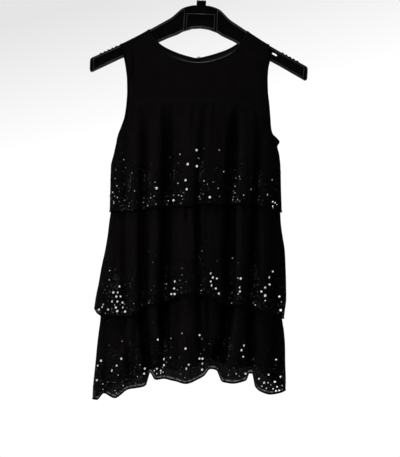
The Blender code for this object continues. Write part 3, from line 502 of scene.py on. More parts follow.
class Yoke:
    """The plain upper part, which hangs over the hanger's arms."""

    def __init__(self, neckline):
        self.shape = Shape(BODY)
        self.neck_left = float(self.shape.across(NECK_POINT_LEFT, SHOULDER_LEVEL))
        self.neck_right = float(self.shape.across(NECK_POINT_RIGHT, SHOULDER_LEVEL))
        self.neck = line_across(self.shape, neckline)

    def shoulder_drop(self, across):
        """Drop of the outer face where the cloth lies on the arm."""
        return hanger_top_drop(self.shape.x(across, SHOULDER_LEVEL)) - SEAM_GAP - SOLID_WALL

    def path_to(self, across, drop):
        """Length of cloth from the shoulder line down to a drop."""
        return SHOULDER_FLAT + SHOULDER_ARC + drop - self.shoulder_drop(across) - SHOULDER_CORNER

    def start(self, across):
        """Path length at which a column starts, at the shoulder line or the neckline."""
        steps = np.minimum(across - self.neck_left, self.neck_right - across) / NECK_STEP
        low = self.path_to(across, self.neck(across))
        over = np.interp(steps, (0, 1, 2), (SEAM_GAP / 2, SHOULDER_FLAT,
                                            SHOULDER_FLAT + SHOULDER_ARC))
        share = np.clip(steps - 2, 0, 1)
        return np.where(steps <= 2, over, over * (1 - share) + low * share)

    def end(self, across):
        """Path length at which a column reaches the seam under the chest."""
        return self.path_to(across, seam_line(across) - SEAM_GAP / 2)

    def point(self, side, across, path):
        """Point of the outer face at a path length from the shoulder line."""
        angle = np.clip((path - SHOULDER_FLAT) / SHOULDER_CORNER, 0, math.pi / 2)
        straight = np.maximum(0, path - SHOULDER_FLAT - SHOULDER_ARC)
        out = np.minimum(path, SHOULDER_FLAT) + SHOULDER_CORNER * np.sin(angle)
        fall = SHOULDER_CORNER * (1 - np.cos(angle)) + straight
        drop = self.shoulder_drop(across) + fall
        x = self.shape.x(across, drop)
        body = self.shape.half_depth(side, across, drop) - SHOULDER_HALF
        ease = smooth(fall / SHOULDER_EASE)
        out = out + (body + creased("yoke", side, x, drop)) * ease
        return np.stack(np.broadcast_arrays(x, side * out, -drop), axis=-1)

    def normal(self, side, across, path):
        """Direction out of the cloth."""
        low = np.maximum(0, across - ACROSS_STEP)
        high = np.minimum(1, across + ACROSS_STEP)
        along = self.point(side, high, path) - self.point(side, low, path)
        down = self.point(side, across, path + SURFACE_STEP)
        down = down - self.point(side, across, np.maximum(0, path - SURFACE_STEP))
        return unit(np.cross(along, down) * side)


ARM_TOP_CURVE = column(ARM_TOP, "drop")
SEAM_CURVE = column(YOKE_SEAM, "drop")
TIER_1 = Tier("tier_1", BODY, {FRONT: HEM_1_FRONT, BACK: HEM_1_BACK}, GATHERS_1)
TIER_2 = Tier("tier_2", SKIRT_2, {FRONT: HEM_2_FRONT, BACK: HEM_2_BACK}, GATHERS_2, TIER_1)
TIER_3 = Tier("tier_3", SKIRT_3, {FRONT: HEM_3_FRONT, BACK: HEM_3_BACK}, GATHERS_3, TIER_2)
TIERS = (TIER_1, TIER_2, TIER_3)
YOKES = {FRONT: Yoke(FRONT_NECKLINE), BACK: Yoke(BACK_NECKLINE)}
print("neck points at shares", round(YOKES[FRONT].neck_left, 3), round(YOKES[FRONT].neck_right, 3))


# %% [markdown]
# ## Materials
# Black cloth, black sequins and black plastic differ only in how they answer the light.
# Chiffon is crepe yarn with gaps between: matt, slightly see-through, a little sheen at
# grazing angles. Binding is smoother. Sequins are mirrors under a clear coat. Each material
# is a small node tree on the piece's own UV map or Object coordinates.

# %% Helper for node trees
def new_material(name, colour, roughness, **inputs):
    """Material with a Principled shader and its fixed values."""
    made = bpy.data.materials.new(name)
    made.use_nodes = True
    shader = made.node_tree.nodes["Principled BSDF"]
    shader.inputs["Base Color"].default_value = (*colour, 1)
    shader.inputs["Roughness"].default_value = roughness
    for label, value in inputs.items():
        shader.inputs[label.replace("_", " ")].default_value = value
    return made, made.node_tree, shader


def add(tree, kind, sockets=None, **settings):
    """Node of a kind with its settings and its socket values or links."""
    node = tree.nodes.new(kind)
    for label, value in settings.items():
        setattr(node, label, value)
    for key, value in (sockets or {}).items():
        if isinstance(value, bpy.types.NodeSocket):
            tree.links.new(value, node.inputs[key])
        else:
            node.inputs[key].default_value = value
    return node


def spread(tree, source, low, high):
    """Map a 0 to 1 value between two others."""
    node = add(tree, "ShaderNodeMapRange", {"Value": source, "To Min": low, "To Max": high})
    return node.outputs["Result"]


def shade_by(tree, shader, source, dark, light):
    """Let a 0 to 1 value mix two base colours."""
    mix = add(tree, "ShaderNodeMix", {0: source}, data_type="RGBA")
    mix.inputs[6].default_value = (*dark, 1)
    mix.inputs[7].default_value = (*light, 1)
    tree.links.new(mix.outputs[2], shader.inputs["Base Color"])


def raise_by(tree, shader, source, strength, depth):
    """Let a value raise the surface as bump, depth in metres."""
    node = add(tree, "ShaderNodeBump", {"Height": source, "Strength": strength, "Distance": depth})
    tree.links.new(node.outputs["Normal"], shader.inputs["Normal"])


# %% Chiffon and binding
YARN_SCALE = 420.0


def woven(name, colour, roughness, yarn, depth, **inputs):
    """Woven cloth: two crossing yarn waves and crepe noise, on the UV map."""
    made, tree, shader = new_material(name, colour, roughness, **inputs)
    place = add(tree, "ShaderNodeTexCoord").outputs["UV"]
    waves = []
    for direction in ("X", "Y"):
        wave = add(tree, "ShaderNodeTexWave", {
            "Vector": place, "Scale": yarn, "Distortion": 1.4, "Detail": 1.0,
            "Detail Scale": 2.0}, bands_direction=direction)
        waves.append(wave.outputs["Fac"])
    yarns = add(tree, "ShaderNodeMath", {0: waves[0], 1: waves[1]}, operation="MAXIMUM")
    crepe = add(tree, "ShaderNodeTexNoise", {"Vector": place, "Scale": yarn * 1.7, "Detail": 3.0})
    height = add(tree, "ShaderNodeMath", {0: yarns.outputs[0], 1: crepe.outputs["Fac"]},
                 operation="ADD")
    raise_by(tree, shader, height.outputs[0], 0.35, depth)
    tree.links.new(spread(tree, crepe.outputs["Fac"], roughness - 0.08, roughness + 0.06),
                   shader.inputs["Roughness"])
    return made, tree, shader


def band_of(tree, source, low, high, start, end):
    """Ease a value from start to end between two places."""
    node = add(tree, "ShaderNodeMapRange", {
        "Value": source, "From Min": low, "From Max": high, "To Min": start, "To Max": end},
        interpolation_type="SMOOTHSTEP")
    return node.outputs["Result"]


CHIFFON_COLOUR = (0.004, 0.0033, 0.0036)
MATT = 0.86
# Painted shade and light: the fold mark darkens the chiffon's colour down in each valley and
# lightens it on each crest.
PAINTED_SHADE_HEIGHTS = (-5.5, 3.0)
PAINTED_VALLEY_SHADE = 0.08
PAINTED_CREST_LIGHT = 1.45
SHEER_FROM = (2.0, 3.0)
SHEER_TO = (4.0, 6.6)
CLOTH_ALPHA = 0.94
SHEER_ALPHA = 0.66


def chiffon_material():
    """Sheer crepe, mottled, with painted shade down in the folds and painted light on their crests,
    and sheerer beside its hem.
    """
    made, tree, shader = woven("black_chiffon", CHIFFON_COLOUR, MATT, YARN_SCALE, 0.00025,
                               Sheen_Weight=0.006, Sheen_Roughness=0.45,
                               Specular_IOR_Level=0.01)
    place = add(tree, "ShaderNodeTexCoord").outputs["UV"]
    mottle = add(tree, "ShaderNodeTexNoise", {"Vector": place, "Scale": 34.0, "Detail": 4.0})
    fold = add(tree, "ShaderNodeAttribute", attribute_name="fold").outputs["Fac"]
    # Painted shade in the valleys and painted light on the crests, plus random mottle.
    painted_shade_and_mottle = add(tree, "ShaderNodeMath", {
        0: band_of(tree, fold, *PAINTED_SHADE_HEIGHTS, 0.0, 0.8),
        1: spread(tree, mottle.outputs["Fac"], -0.1, 0.25)}, operation="ADD", use_clamp=True)
    shade_by(tree, shader, painted_shade_and_mottle.outputs[0], tuple(part * PAINTED_VALLEY_SHADE for part in CHIFFON_COLOUR),
             tuple(part * PAINTED_CREST_LIGHT for part in CHIFFON_COLOUR))
    above = add(tree, "ShaderNodeAttribute", attribute_name="above_hem").outputs["Fac"]
    sheer = add(tree, "ShaderNodeMath", {
        0: band_of(tree, above, *SHEER_FROM, 0.0, 1.0),
        1: band_of(tree, above, *SHEER_TO, 1.0, 0.0)}, operation="MULTIPLY")
    seen = spread(tree, sheer.outputs[0], CLOTH_ALPHA, SHEER_ALPHA)
    tree.links.new(seen, shader.inputs["Alpha"])
    return made


CHIFFON = chiffon_material()
EDGE_COLOUR = (0.0018, 0.0016, 0.0017)
TAPE = woven("black_binding", EDGE_COLOUR, 0.36, YARN_SCALE * 1.3, 0.0001,
             Specular_IOR_Level=0.07)[0]
ROLLED = woven("black_rolled_edge", EDGE_COLOUR, MATT, YARN_SCALE, 0.0002,
               Specular_IOR_Level=0.01)[0]
THREAD = woven("black_thread", (0.004, 0.0037, 0.0038), 0.6, YARN_SCALE * 2, 0.0001,
               Sheen_Weight=0.02, Sheen_Roughness=0.3, Specular_IOR_Level=0.2)[0]


# %% Sequins, button, plastic and steel
def sequin_material():
    """Cupped plastic disc under a clear coat, each one a little lighter or darker."""
    made, tree, shader = new_material(
        "black_sequin", (0.01, 0.01, 0.011), 0.1, Specular_IOR_Level=0.1, Coat_Weight=1.0,
        Coat_Roughness=0.04)
    shine = add(tree, "ShaderNodeAttribute", attribute_name="shine").outputs["Fac"]
    shade_by(tree, shader, shine, (0.001, 0.001, 0.0011), (0.006, 0.006, 0.0065))
    tree.links.new(spread(tree, shine, 0.34, 0.08), shader.inputs["Roughness"])
    gloss = add(tree, "ShaderNodeMath", {0: shine, 1: 3.0}, operation="POWER")
    tree.links.new(gloss.outputs[0], shader.inputs["Coat Weight"])
    place = add(tree, "ShaderNodeTexCoord").outputs["Object"]
    ripple = add(tree, "ShaderNodeTexNoise", {"Vector": place, "Scale": 900.0, "Detail": 1.0})
    raise_by(tree, shader, ripple.outputs["Fac"], 0.2, 0.0001)
    return made


def moulded_material(name, colour, roughness, grain, **inputs):
    """Moulded plastic: fine spark-eroded grain, flow marks and worn roughness."""
    made, tree, shader = new_material(name, colour, roughness, **inputs)
    place = add(tree, "ShaderNodeTexCoord").outputs["Object"]
    fine = add(tree, "ShaderNodeTexNoise", {"Vector": place, "Scale": grain, "Detail": 4.0})
    raise_by(tree, shader, fine.outputs["Fac"], 0.15, 0.00008)
    flow = add(tree, "ShaderNodeTexNoise", {"Vector": place, "Scale": 26.0, "Detail": 5.0,
                                            "Distortion": 1.2})
    shade_by(tree, shader, flow.outputs["Fac"], tuple(part * 0.75 for part in colour),
             tuple(part * 1.3 for part in colour))
    tree.links.new(spread(tree, flow.outputs["Fac"], roughness - 0.07, roughness + 0.1),
                   shader.inputs["Roughness"])
    return made


def wire_material():
    """Drawn steel wire, with fine lines along it and a few dull patches."""
    made, tree, shader = new_material("steel_wire", (0.55, 0.55, 0.57), 0.24, Metallic=1.0)
    place = add(tree, "ShaderNodeTexCoord").outputs["Object"]
    lines = add(tree, "ShaderNodeTexNoise", {"Vector": place, "Scale": 1200.0, "Detail": 2.0})
    raise_by(tree, shader, lines.outputs["Fac"], 0.15, 0.00005)
    dull = add(tree, "ShaderNodeTexNoise", {"Vector": place, "Scale": 60.0, "Detail": 4.0})
    shade_by(tree, shader, dull.outputs["Fac"], (0.42, 0.42, 0.44), (0.66, 0.66, 0.68))
    tree.links.new(spread(tree, dull.outputs["Fac"], 0.16, 0.4), shader.inputs["Roughness"])
    return made


SEQUIN = sequin_material()
PLASTIC = moulded_material("black_moulded_plastic", (0.0009, 0.001, 0.0011), 0.2, 1600.0,
                           Specular_IOR_Level=0.4)
# Painted highlight: the rim bead's plastic is much lighter than the hanger's, to show light along
# the rims.
PAINTED_HIGHLIGHT_RIM_PLASTIC = moulded_material("rubbed_plastic_rim", (0.032, 0.033, 0.036), 0.34, 1600.0)
BUTTON = moulded_material("black_button", (0.014, 0.014, 0.015), 0.2, 2600.0, Coat_Weight=0.4)
STEEL = wire_material()
print("materials", len(bpy.data.materials))


# %% [markdown]
# ## Thin cloth from a grid
# A panel is a grid of points on the outer face and a second grid just behind it, closed by a
# rim, so the cloth has two sides and a real thickness. A Solidify modifier would do the same
# on a flat sheet, but here the offset is needed anyway to seat the sequins and the tapes. The
# UV map holds metres of cloth, so the weave keeps its scale over folds.

# %% Panel from two grids
def link(name, mesh, material):
    """Object of a finished mesh."""
    mesh.materials.clear()
    mesh.materials.append(material)
    made = bpy.data.objects.new(name, mesh)
    bpy.context.scene.collection.objects.link(made)
    return made


CLOTH_CORNER = 60


def round_shade(mesh, degrees):
    """Shade a mesh smooth, but for the edges sharper than an angle."""
    mesh.shade_smooth()
    mesh.set_sharp_from_angle(angle=math.radians(degrees))


def grid_faces(rows, columns):
    """Numbers of a grid's points, and its faces."""
    numbers = np.arange(rows * columns).reshape(rows, columns)
    quads = np.stack([numbers[:-1, :-1], numbers[:-1, 1:], numbers[1:, 1:], numbers[1:, :-1]], -1)
    return numbers, quads.reshape(-1, 4)


def grid_normals(points, side):
    """Normals of a grid of points, from its neighbours."""
    along = np.gradient(points, axis=1)
    down = np.gradient(points, axis=0)
    return unit(np.cross(along, down) * side)


def panel(name, outer, inner, uv, marks, material):
    """Closed thin panel of two grids of points in millimetres, with named marks on them."""
    rows, columns = outer.shape[:2]
    numbers, quads = grid_faces(rows, columns)
    rim = np.concatenate([numbers[0, :-1], numbers[:-1, -1], numbers[-1, :0:-1], numbers[:0:-1, 0]])
    ahead = np.roll(rim, -1)
    size = rows * columns
    edge = np.stack([ahead, rim, rim + size, ahead + size], -1)
    faces = np.concatenate([quads, quads[:, ::-1] + size, edge])
    middle = (rows // 2, columns // 2)
    first = outer[middle[0], middle[1] + 1] - outer[middle]
    second = outer[middle[0] + 1, middle[1]] - outer[middle]
    if np.dot(np.cross(first, second), outer[middle] - inner[middle]) < 0:
        faces = faces[:, ::-1]
    points = np.concatenate([outer.reshape(-1, 3), inner.reshape(-1, 3)]) * MM
    mesh = bpy.data.meshes.new(name)
    mesh.from_pydata(points.tolist(), [], faces.tolist())
    both = np.concatenate([uv.reshape(-1, 2), uv.reshape(-1, 2)]) * MM
    layer = mesh.uv_layers.new(name="UVMap")
    loops = np.zeros(len(mesh.loops), int)
    mesh.loops.foreach_get("vertex_index", loops)
    layer.data.foreach_set("uv", both[loops].astype(np.float32).ravel())
    for label, values in marks.items():
        mark = mesh.attributes.new(label, "FLOAT", "POINT")
        flat = np.broadcast_to(values, (rows, columns)).ravel().astype(np.float32)
        mark.data.foreach_set("value", np.concatenate([flat, flat]))
    round_shade(mesh, CLOTH_CORNER)
    return link(name, mesh, material)


def surface_area(piece):
    """Area of one side of a thin piece, in square metres."""
    areas = np.zeros(len(piece.data.polygons), np.float32)
    piece.data.polygons.foreach_get("area", areas)
    return float(areas.sum()) / 2


CROWDING = 0.45


def spread_columns(count):
    """Shares of the width, close together where the cloth turns round the sides."""
    part = np.arange(count + 1) / count
    angle = math.pi * (part + CROWDING * np.sin(2 * math.pi * part) / (2 * math.pi))
    made = (1 - np.cos(angle)) / 2
    made[0] = 0.0
    made[-1] = 1.0
    return made


# %% [markdown]
# ## The three flounces
# Front and back are cut apart and meet at the side seams. The front grid is finer, because
# its hem rises and falls in narrow lobes. Two marks on each point feed the chiffon: how far
# the folds stand out there, which paints shade into the valleys and light onto the crests,
# and how far it is above its hem.

# %% Cloth of the tiers
TIER_COLUMNS = {FRONT: 220, BACK: 150}
TIER_ROWS = {FRONT: 64, BACK: 52}
WEAVE_WIDTH = {"tier_1": 400.0, "tier_2": 445.0, "tier_3": 460.0}
# How far below a tier's top its painted fold shade fades in.
PAINTED_SHADE_TAPER = {"tier_1": 64.0, "tier_2": 1.0, "tier_3": 1.0}
LABEL = {FRONT: "front", BACK: "back"}


def tier_grid(tier, side):
    """Shares of the width and drops of a tier's grid."""
    across = spread_columns(TIER_COLUMNS[side])
    share = np.linspace(0, 1, TIER_ROWS[side] + 1)[:, None]
    top = tier.top(side, across)
    drop = top + (tier.hems[side](across) - top) * share
    return np.broadcast_arrays(across, drop)


OUTER = {}
CLOTH = {}
for tier in TIERS:
    for side in (FRONT, BACK):
        across, drop = tier_grid(tier, side)
        outer = tier.point(side, across, drop)
        normals = grid_normals(outer, side)
        edge = tier.shape.edge(drop[:, [0, -1]]) < 1
        for end, direction in ((0, -1.0), (-1, 1.0)):
            normals[edge[:, end], end] = (direction, 0.0, 0.0)
        inner = outer - normals * CLOTH_THICK
        uv = np.stack([across * WEAVE_WIDTH[tier.name], -drop], -1)
        name = f"{tier.name}_{LABEL[side]}"
        OUTER[tier.name, side] = outer
        x = tier.shape.x(across, drop)
        window = np.sqrt(4 * across * (1 - across))
        # The fold mark paints shade into the valleys and light onto the crests, fading in below the
        # tier's top.
        ease = smooth((drop - tier.top(side, across)) / PAINTED_SHADE_TAPER[tier.name])
        shown = relief(side, x, drop) + creased(tier.name, side, x, drop)
        marks = {"fold": window * ease * shown, "above_hem": tier.hems[side](across) - drop}
        CLOTH[name] = panel(f"{name}_cloth", outer, inner, uv, marks, CHIFFON)
        print(name, len(CLOTH[name].data.polygons), "faces",
              round(surface_area(CLOTH[name]), 4), "m2")


# %% [markdown]
# ## The yoke
# The plain top is one piece in front and two halves behind, which part at the nape and close
# with a button.

# %% Cloth of the yoke
YOKE_ROWS = 64
YOKE_ROW_POWER = 1.5
YOKE_COLUMNS = {FRONT: 150, BACK: 152}
FAR_FROM_HEM = 99.0
NECK_COLUMNS = 7


def yoke_columns(side, low, high):
    """Shares of the width for a yoke, closer together where the neckline crosses the arms."""
    yoke = YOKES[side]
    plain = spread_columns(YOKE_COLUMNS[side])
    near = np.concatenate([yoke.neck_left + NECK_STEP * np.arange(NECK_COLUMNS) / 2,
                           yoke.neck_right - NECK_STEP * np.arange(NECK_COLUMNS) / 2])
    apart = np.abs(plain[:, None] - near).min(axis=1) > NECK_STEP / 3
    inside = np.concatenate([plain[apart], near])
    inside = inside[(inside > low + NECK_STEP / 3) & (inside < high - NECK_STEP / 3)]
    return np.sort(np.concatenate([[low], inside, [high]]))


def yoke_cloth(name, side, low, high):
    """One panel of the yoke between two shares of the width."""
    yoke = YOKES[side]
    across = yoke_columns(side, low, high)
    share = (np.linspace(0, 1, YOKE_ROWS + 1) ** YOKE_ROW_POWER)[:, None]
    path = yoke.start(across) + (yoke.end(across) - yoke.start(across)) * share
    across, path = np.broadcast_arrays(across, path)
    outer = yoke.point(side, across, path)
    inner = outer - yoke.normal(side, across, path) * CLOTH_THICK
    uv = np.stack([outer[..., 0], -path], -1)
    # The fold mark paints shade into the yoke's creases and light onto their ridges.
    marks = {"fold": creased("yoke", side, outer[..., 0], -outer[..., 2]),
             "above_hem": np.full(across.shape, FAR_FROM_HEM)}
    return panel(f"{name}_cloth", outer, inner, uv, marks, CHIFFON)


back_width = YOKES[BACK].shape.right(SPLIT_LEVEL) - YOKES[BACK].shape.left(SPLIT_LEVEL)
HALF_GAP = SEAM_GAP / 2 / back_width
YokePanel = namedtuple("YokePanel", "name side low high")
YOKE_PANELS = table(YokePanel, [
    ("front_yoke", FRONT, 0.0, 1.0),
    ("back_yoke_left", BACK, 0.0, 0.5 - HALF_GAP),
    ("back_yoke_right", BACK, 0.5 + HALF_GAP, 1.0),
])
for row in YOKE_PANELS:
    CLOTH[row.name] = yoke_cloth(*row)
    print(row.name, round(surface_area(CLOTH[row.name]), 4), "m2")


# %% [markdown]
# ## Tubes and tapes along a path
# A rolled hem, a thread loop and the hook are all one round section carried along a path, and
# a bound edge is a folded section. One loft function serves them all. For the hems, Geometry
# Nodes turns the edge into a curve and sweeps a circle along it.

# %% Loft a section along a path
LOFT_CORNER = 50


def loft(name, rings, material):
    """Closed body through rings of points in millimetres, with capped ends."""
    builder = bmesh.new()
    made = [[builder.verts.new([part * MM for part in point]) for point in ring] for ring in rings]
    for ring, after in zip(made, made[1:]):
        for i in range(len(ring)):
            j = (i + 1) % len(ring)
            builder.faces.new((ring[i], ring[j], after[j], after[i]))
    builder.faces.new(made[0])
    builder.faces.new(made[-1])
    bmesh.ops.recalc_face_normals(builder, faces=builder.faces[:])
    mesh = bpy.data.meshes.new(name)
    builder.to_mesh(mesh)
    builder.free()
    layer = mesh.uv_layers.new(name="UVMap")
    for loop, spot in zip(mesh.loops, layer.data):
        place = mesh.vertices[loop.vertex_index].co
        spot.uv = (place.x + place.y, place.z)
    round_shade(mesh, LOFT_CORNER)
    return link(name, mesh, material)


def tangents(path):
    """Directions along a path of points."""
    return unit(np.gradient(path, axis=0))


def tube(name, path, radius, sides, material):
    """Round bar along a path that lies in a plane of constant y."""
    along = tangents(path)
    across = unit(np.cross(along, (0.0, 1.0, 0.0)))
    up = np.cross(across, along)
    turn = 2 * math.pi * np.arange(sides)[:, None] / sides
    rings = [path[i] + radius * (np.cos(turn) * across[i] + np.sin(turn) * up[i])
             for i in range(len(path))]
    return loft(name, rings, material)


# %% [markdown]
# ## Bound edges
# Neck and armholes are finished with a bias strip that wraps the raw edge and shows a few
# millimetres on both faces, smooth tape at the neck and the dress's own matt cloth round the
# arms. The section is a folded U with rounded edges, carried along the edge of the cloth,
# square to it.

# %% Section of the tape and its path
TAPE_WIDTH = 3.8
TAPE_THICK = 0.55
TAPE_GAP = 0.12
TAPE_BEND_MIDDLE = 0.5
TAPE_BEND_ANGLES = (110, 145, 180, 215, 250)
RAW_EDGE = 0.2
TapeStep = namedtuple("TapeStep", "inward height")
TAPE_STEPS = table(TapeStep, [
    (TAPE_WIDTH, 0.1), (TAPE_WIDTH - 0.7, TAPE_THICK), (2.2, TAPE_THICK * 1.15),
    (0.9, TAPE_THICK * 1.25),
])


def tape_section():
    """(inward, outward) points of the folded tape round a raw edge."""
    low = -CLOTH_THICK - TAPE_GAP
    middle = -CLOTH_THICK / 2
    reach = TAPE_GAP + TAPE_STEPS[-1].height + CLOTH_THICK / 2
    outer = [(step.inward, TAPE_GAP + step.height) for step in TAPE_STEPS]
    for angle in TAPE_BEND_ANGLES:
        turn = math.radians(angle)
        outer.append((TAPE_BEND_MIDDLE + reach * math.cos(turn), middle + reach * math.sin(turn)))
    outer += [(step.inward, low - step.height) for step in TAPE_STEPS[::-1]]
    inner = [(TAPE_WIDTH, low), (RAW_EDGE, low), (-TAPE_GAP, middle), (RAW_EDGE, TAPE_GAP),
             (TAPE_WIDTH, TAPE_GAP)]
    return np.array(outer + inner)


def tape(name, edge, inward, normals, material=TAPE):
    """Folded tape along an edge, with the directions into the cloth and out of it."""
    along = tangents(edge)
    normals = unit(normals - along * np.sum(normals * along, axis=1, keepdims=True))
    square = np.cross(along, normals)
    inward = square * np.sign(np.sum(square * inward))
    section = tape_section()
    rings = []
    for point, into, out in zip(edge, inward, normals):
        rings.append(point + section[:, :1] * into + section[:, 1:] * out)
    return loft(name, rings, material)


CORNER_POINTS = 15
INWARD_STEP = 2.0
NORMAL_STEP = 0.6


def neck_tape(name, side, low, high, count):
    """Tape along the neckline of one yoke panel."""
    yoke = YOKES[side]
    low = max(low, yoke.neck_left)
    high = min(high, yoke.neck_right)
    fine = NECK_STEP * np.arange(1, CORNER_POINTS + 1) / 4
    across = np.concatenate([np.linspace(low, high, count), yoke.neck_left + fine,
                             yoke.neck_right - fine])
    across = np.unique(np.round(across[(across >= low) & (across <= high)], 6))
    start = yoke.start(across)
    edge = yoke.point(side, across, start)
    inward = yoke.point(side, across, start + INWARD_STEP) - edge
    return tape(name, edge, inward, yoke.normal(side, across, start + NORMAL_STEP))


ARMHOLE_ROWS = 46
ARMHOLE_END_GAP = 0.4


def armhole_tape(name, across_at, rows=ARMHOLE_ROWS):
    """Tape round one armhole, up the front, over the shoulder and down the back."""
    edges = []
    outs = []
    for side in (FRONT, BACK):
        yoke = YOKES[side]
        across = np.full(rows, float(across_at))
        path = np.linspace(SEAM_GAP / 2, yoke.end(across[0]), rows)
        drop = np.linspace(TIER_1.top(side, across[0]), UNDERARM_DROP - ARMHOLE_END_GAP, rows // 2)
        below = across[:rows // 2]
        points = np.concatenate([yoke.point(side, across, path), TIER_1.point(side, below, drop)])
        normals = np.concatenate([yoke.normal(side, across, path),
                                  TIER_1.normal(side, np.abs(below - 2 * ACROSS_STEP), drop)])
        order = slice(None, None, -1) if side == FRONT else slice(None)
        edges.append(points[order])
        outs.append(normals[order])
    edge = np.concatenate(edges)
    inward = np.tile((1.0 - 2.0 * across_at, 0.0, 0.0), (len(edge), 1))
    return tape(name, edge, inward, np.concatenate(outs), ROLLED)


NECK_POINTS = {FRONT: 150, BACK: 76}
TAPES = {}
for row in YOKE_PANELS:
    place = row.name.replace("_yoke", "")
    count = NECK_POINTS[row.side]
    TAPES[place] = neck_tape(f"neck_tape_{place}", row.side, row.low, row.high, count)
for place, across_at in (("left", 0), ("right", 1)):
    TAPES[place] = armhole_tape(f"armhole_tape_{place}", across_at)
print("tapes", {name: len(piece.data.polygons) for name, piece in TAPES.items()})


# %% [markdown]
# ## Geometry Nodes for what repeats
# A tree is a recipe with named inputs. These helpers build one from a list of steps, set a
# modifier's inputs by the socket's identifier, and turn the result into a plain mesh.

# %% Helpers for the trees
def new_tree(name, inputs):
    """Empty tree with a geometry input and output and named inputs."""
    tree = bpy.data.node_groups.new(name, "GeometryNodeTree")
    tree.is_modifier = True
    tree.interface.new_socket("Geometry", in_out="INPUT", socket_type="NodeSocketGeometry")
    tree.interface.new_socket("Geometry", in_out="OUTPUT", socket_type="NodeSocketGeometry")
    for label, kind in inputs:
        tree.interface.new_socket(label, in_out="INPUT", socket_type=f"NodeSocket{kind}")
    return tree, tree.nodes.new("NodeGroupInput").outputs


def end_tree(tree, geometry, given):
    """Realize the instances, set the material and hand the result out."""
    real = add(tree, "GeometryNodeRealizeInstances", {"Geometry": geometry})
    done = add(tree, "GeometryNodeSetMaterial", {
        "Geometry": real.outputs["Geometry"], "Material": given["Material"]})
    last = tree.nodes.new("NodeGroupOutput")
    tree.links.new(done.outputs["Geometry"], last.inputs["Geometry"])


def run_tree(name, source, tree, values, material):
    """Plain mesh object of a tree's result on a source mesh, which is then removed."""
    holder = bpy.data.objects.new(f"{name}_source", source)
    bpy.context.scene.collection.objects.link(holder)
    modifier = holder.modifiers.new("tree", "NODES")
    modifier.node_group = tree
    values = {**values, "Material": material}
    for item in tree.interface.items_tree:
        if item.in_out == "INPUT" and item.name in values:
            modifier[item.identifier] = values[item.name]
    bpy.context.view_layer.update()
    graph = bpy.context.evaluated_depsgraph_get()
    mesh = bpy.data.meshes.new_from_object(holder.evaluated_get(graph))
    mesh.name = name
    bpy.data.objects.remove(holder)
    return link(name, mesh, material)


# %% [markdown]
# ## Rolled hems
# Chiffon hems are rolled twice and sewn into a cord about three millimetres thick. It gives
# the dark line under each flounce and holds the lobes open.

# %% Sweep a circle along each hem
HEM_RADIUS = 1.5
HEM_SIDES = 10


def cord_tree():
    """Turn edges into a curve and sweep a circle along it."""
    tree, given = new_tree("Cord along a line", [
        ("Radius", "Float"), ("Sides", "Int"), ("Material", "Material")])
    line = add(tree, "GeometryNodeMeshToCurve", {"Mesh": given["Geometry"]})
    circle = add(tree, "GeometryNodeCurvePrimitiveCircle", {
        "Radius": given["Radius"], "Resolution": given["Sides"]})
    sweep = add(tree, "GeometryNodeCurveToMesh", {
        "Curve": line.outputs["Curve"], "Profile Curve": circle.outputs["Curve"],
        "Fill Caps": True})
    end_tree(tree, sweep.outputs["Mesh"], given)
    return tree


def hem_path(tier, lift=0.0, up=0.0):
    """Closed path of points along a tier's hem, front then back."""
    made = []
    for side in (FRONT, BACK):
        across = spread_columns(TIER_COLUMNS[side])
        drop = tier.hems[side](across) - up
        normals = tier.normal(side, across, drop)
        middle = tier.point(side, across, drop) + normals * (lift - CLOTH_THICK / 2)
        made.append(middle if side == FRONT else middle[::-1])
    return np.concatenate([made[0], made[1][1:-1]])


def edge_loop(name, path):
    """Mesh of one closed line."""
    count = len(path)
    mesh = bpy.data.meshes.new(name)
    mesh.from_pydata((path * MM).tolist(), [(i, (i + 1) % count) for i in range(count)], [])
    return mesh


CORD_TREE = cord_tree()
HEMS = {}
for tier in TIERS:
    hem = run_tree(f"{tier.name}_rolled_hem", edge_loop("hem_line", hem_path(tier)), CORD_TREE,
                   {"Radius": HEM_RADIUS * MM, "Sides": HEM_SIDES}, ROLLED)
    hem.data.shade_smooth()
    HEMS[tier.name] = hem
print("hems", {name: len(piece.data.polygons) for name, piece in HEMS.items()})


# %% [markdown]
# ## Side seams
# Front and back are joined by narrow French seams, which fold the raw edges away. They are
# swept by the same tree, from the underarm or from the seam above down to the hem.

# %% Sweep the side seams
SIDE_SEAM_RADIUS = 0.55
SIDE_SEAM_ROWS = 50
SIDE_SEAM_SIDES = 8


def line_mesh(paths):
    """Mesh of open lines, one for each path."""
    points = []
    edges = []
    for path in paths:
        first = len(points)
        points += (path * MM).tolist()
        edges += [(first + i, first + i + 1) for i in range(len(path) - 1)]
    mesh = bpy.data.meshes.new("lines")
    mesh.from_pydata(points, edges, [])
    return mesh


def side_seam(tier, end):
    """Line between front and back at one end of a tier."""
    across = np.full(SIDE_SEAM_ROWS, float(end))
    top = max(tier.top(FRONT, across[0]), UNDERARM_DROP) + SIDE_SEAM_RADIUS
    foot = tier.hems[FRONT](across[0]) - HEM_RADIUS / 2
    drop = np.linspace(top, foot, SIDE_SEAM_ROWS)
    inward = np.array((CLOTH_THICK / 2 * (1 - 2 * end), 0.0, 0.0))
    return (tier.point(FRONT, across, drop) + tier.point(BACK, across, drop)) / 2 + inward


SIDE_SEAMS = {}
for tier in TIERS:
    seam = run_tree(f"{tier.name}_side_seams", line_mesh([side_seam(tier, 0), side_seam(tier, 1)]),
                    CORD_TREE, {"Radius": SIDE_SEAM_RADIUS * MM, "Sides": SIDE_SEAM_SIDES}, ROLLED)
    seam.data.shade_smooth()
    SIDE_SEAMS[tier.name] = seam
print("side seams", {name: len(piece.data.polygons) for name, piece in SIDE_SEAMS.items()})


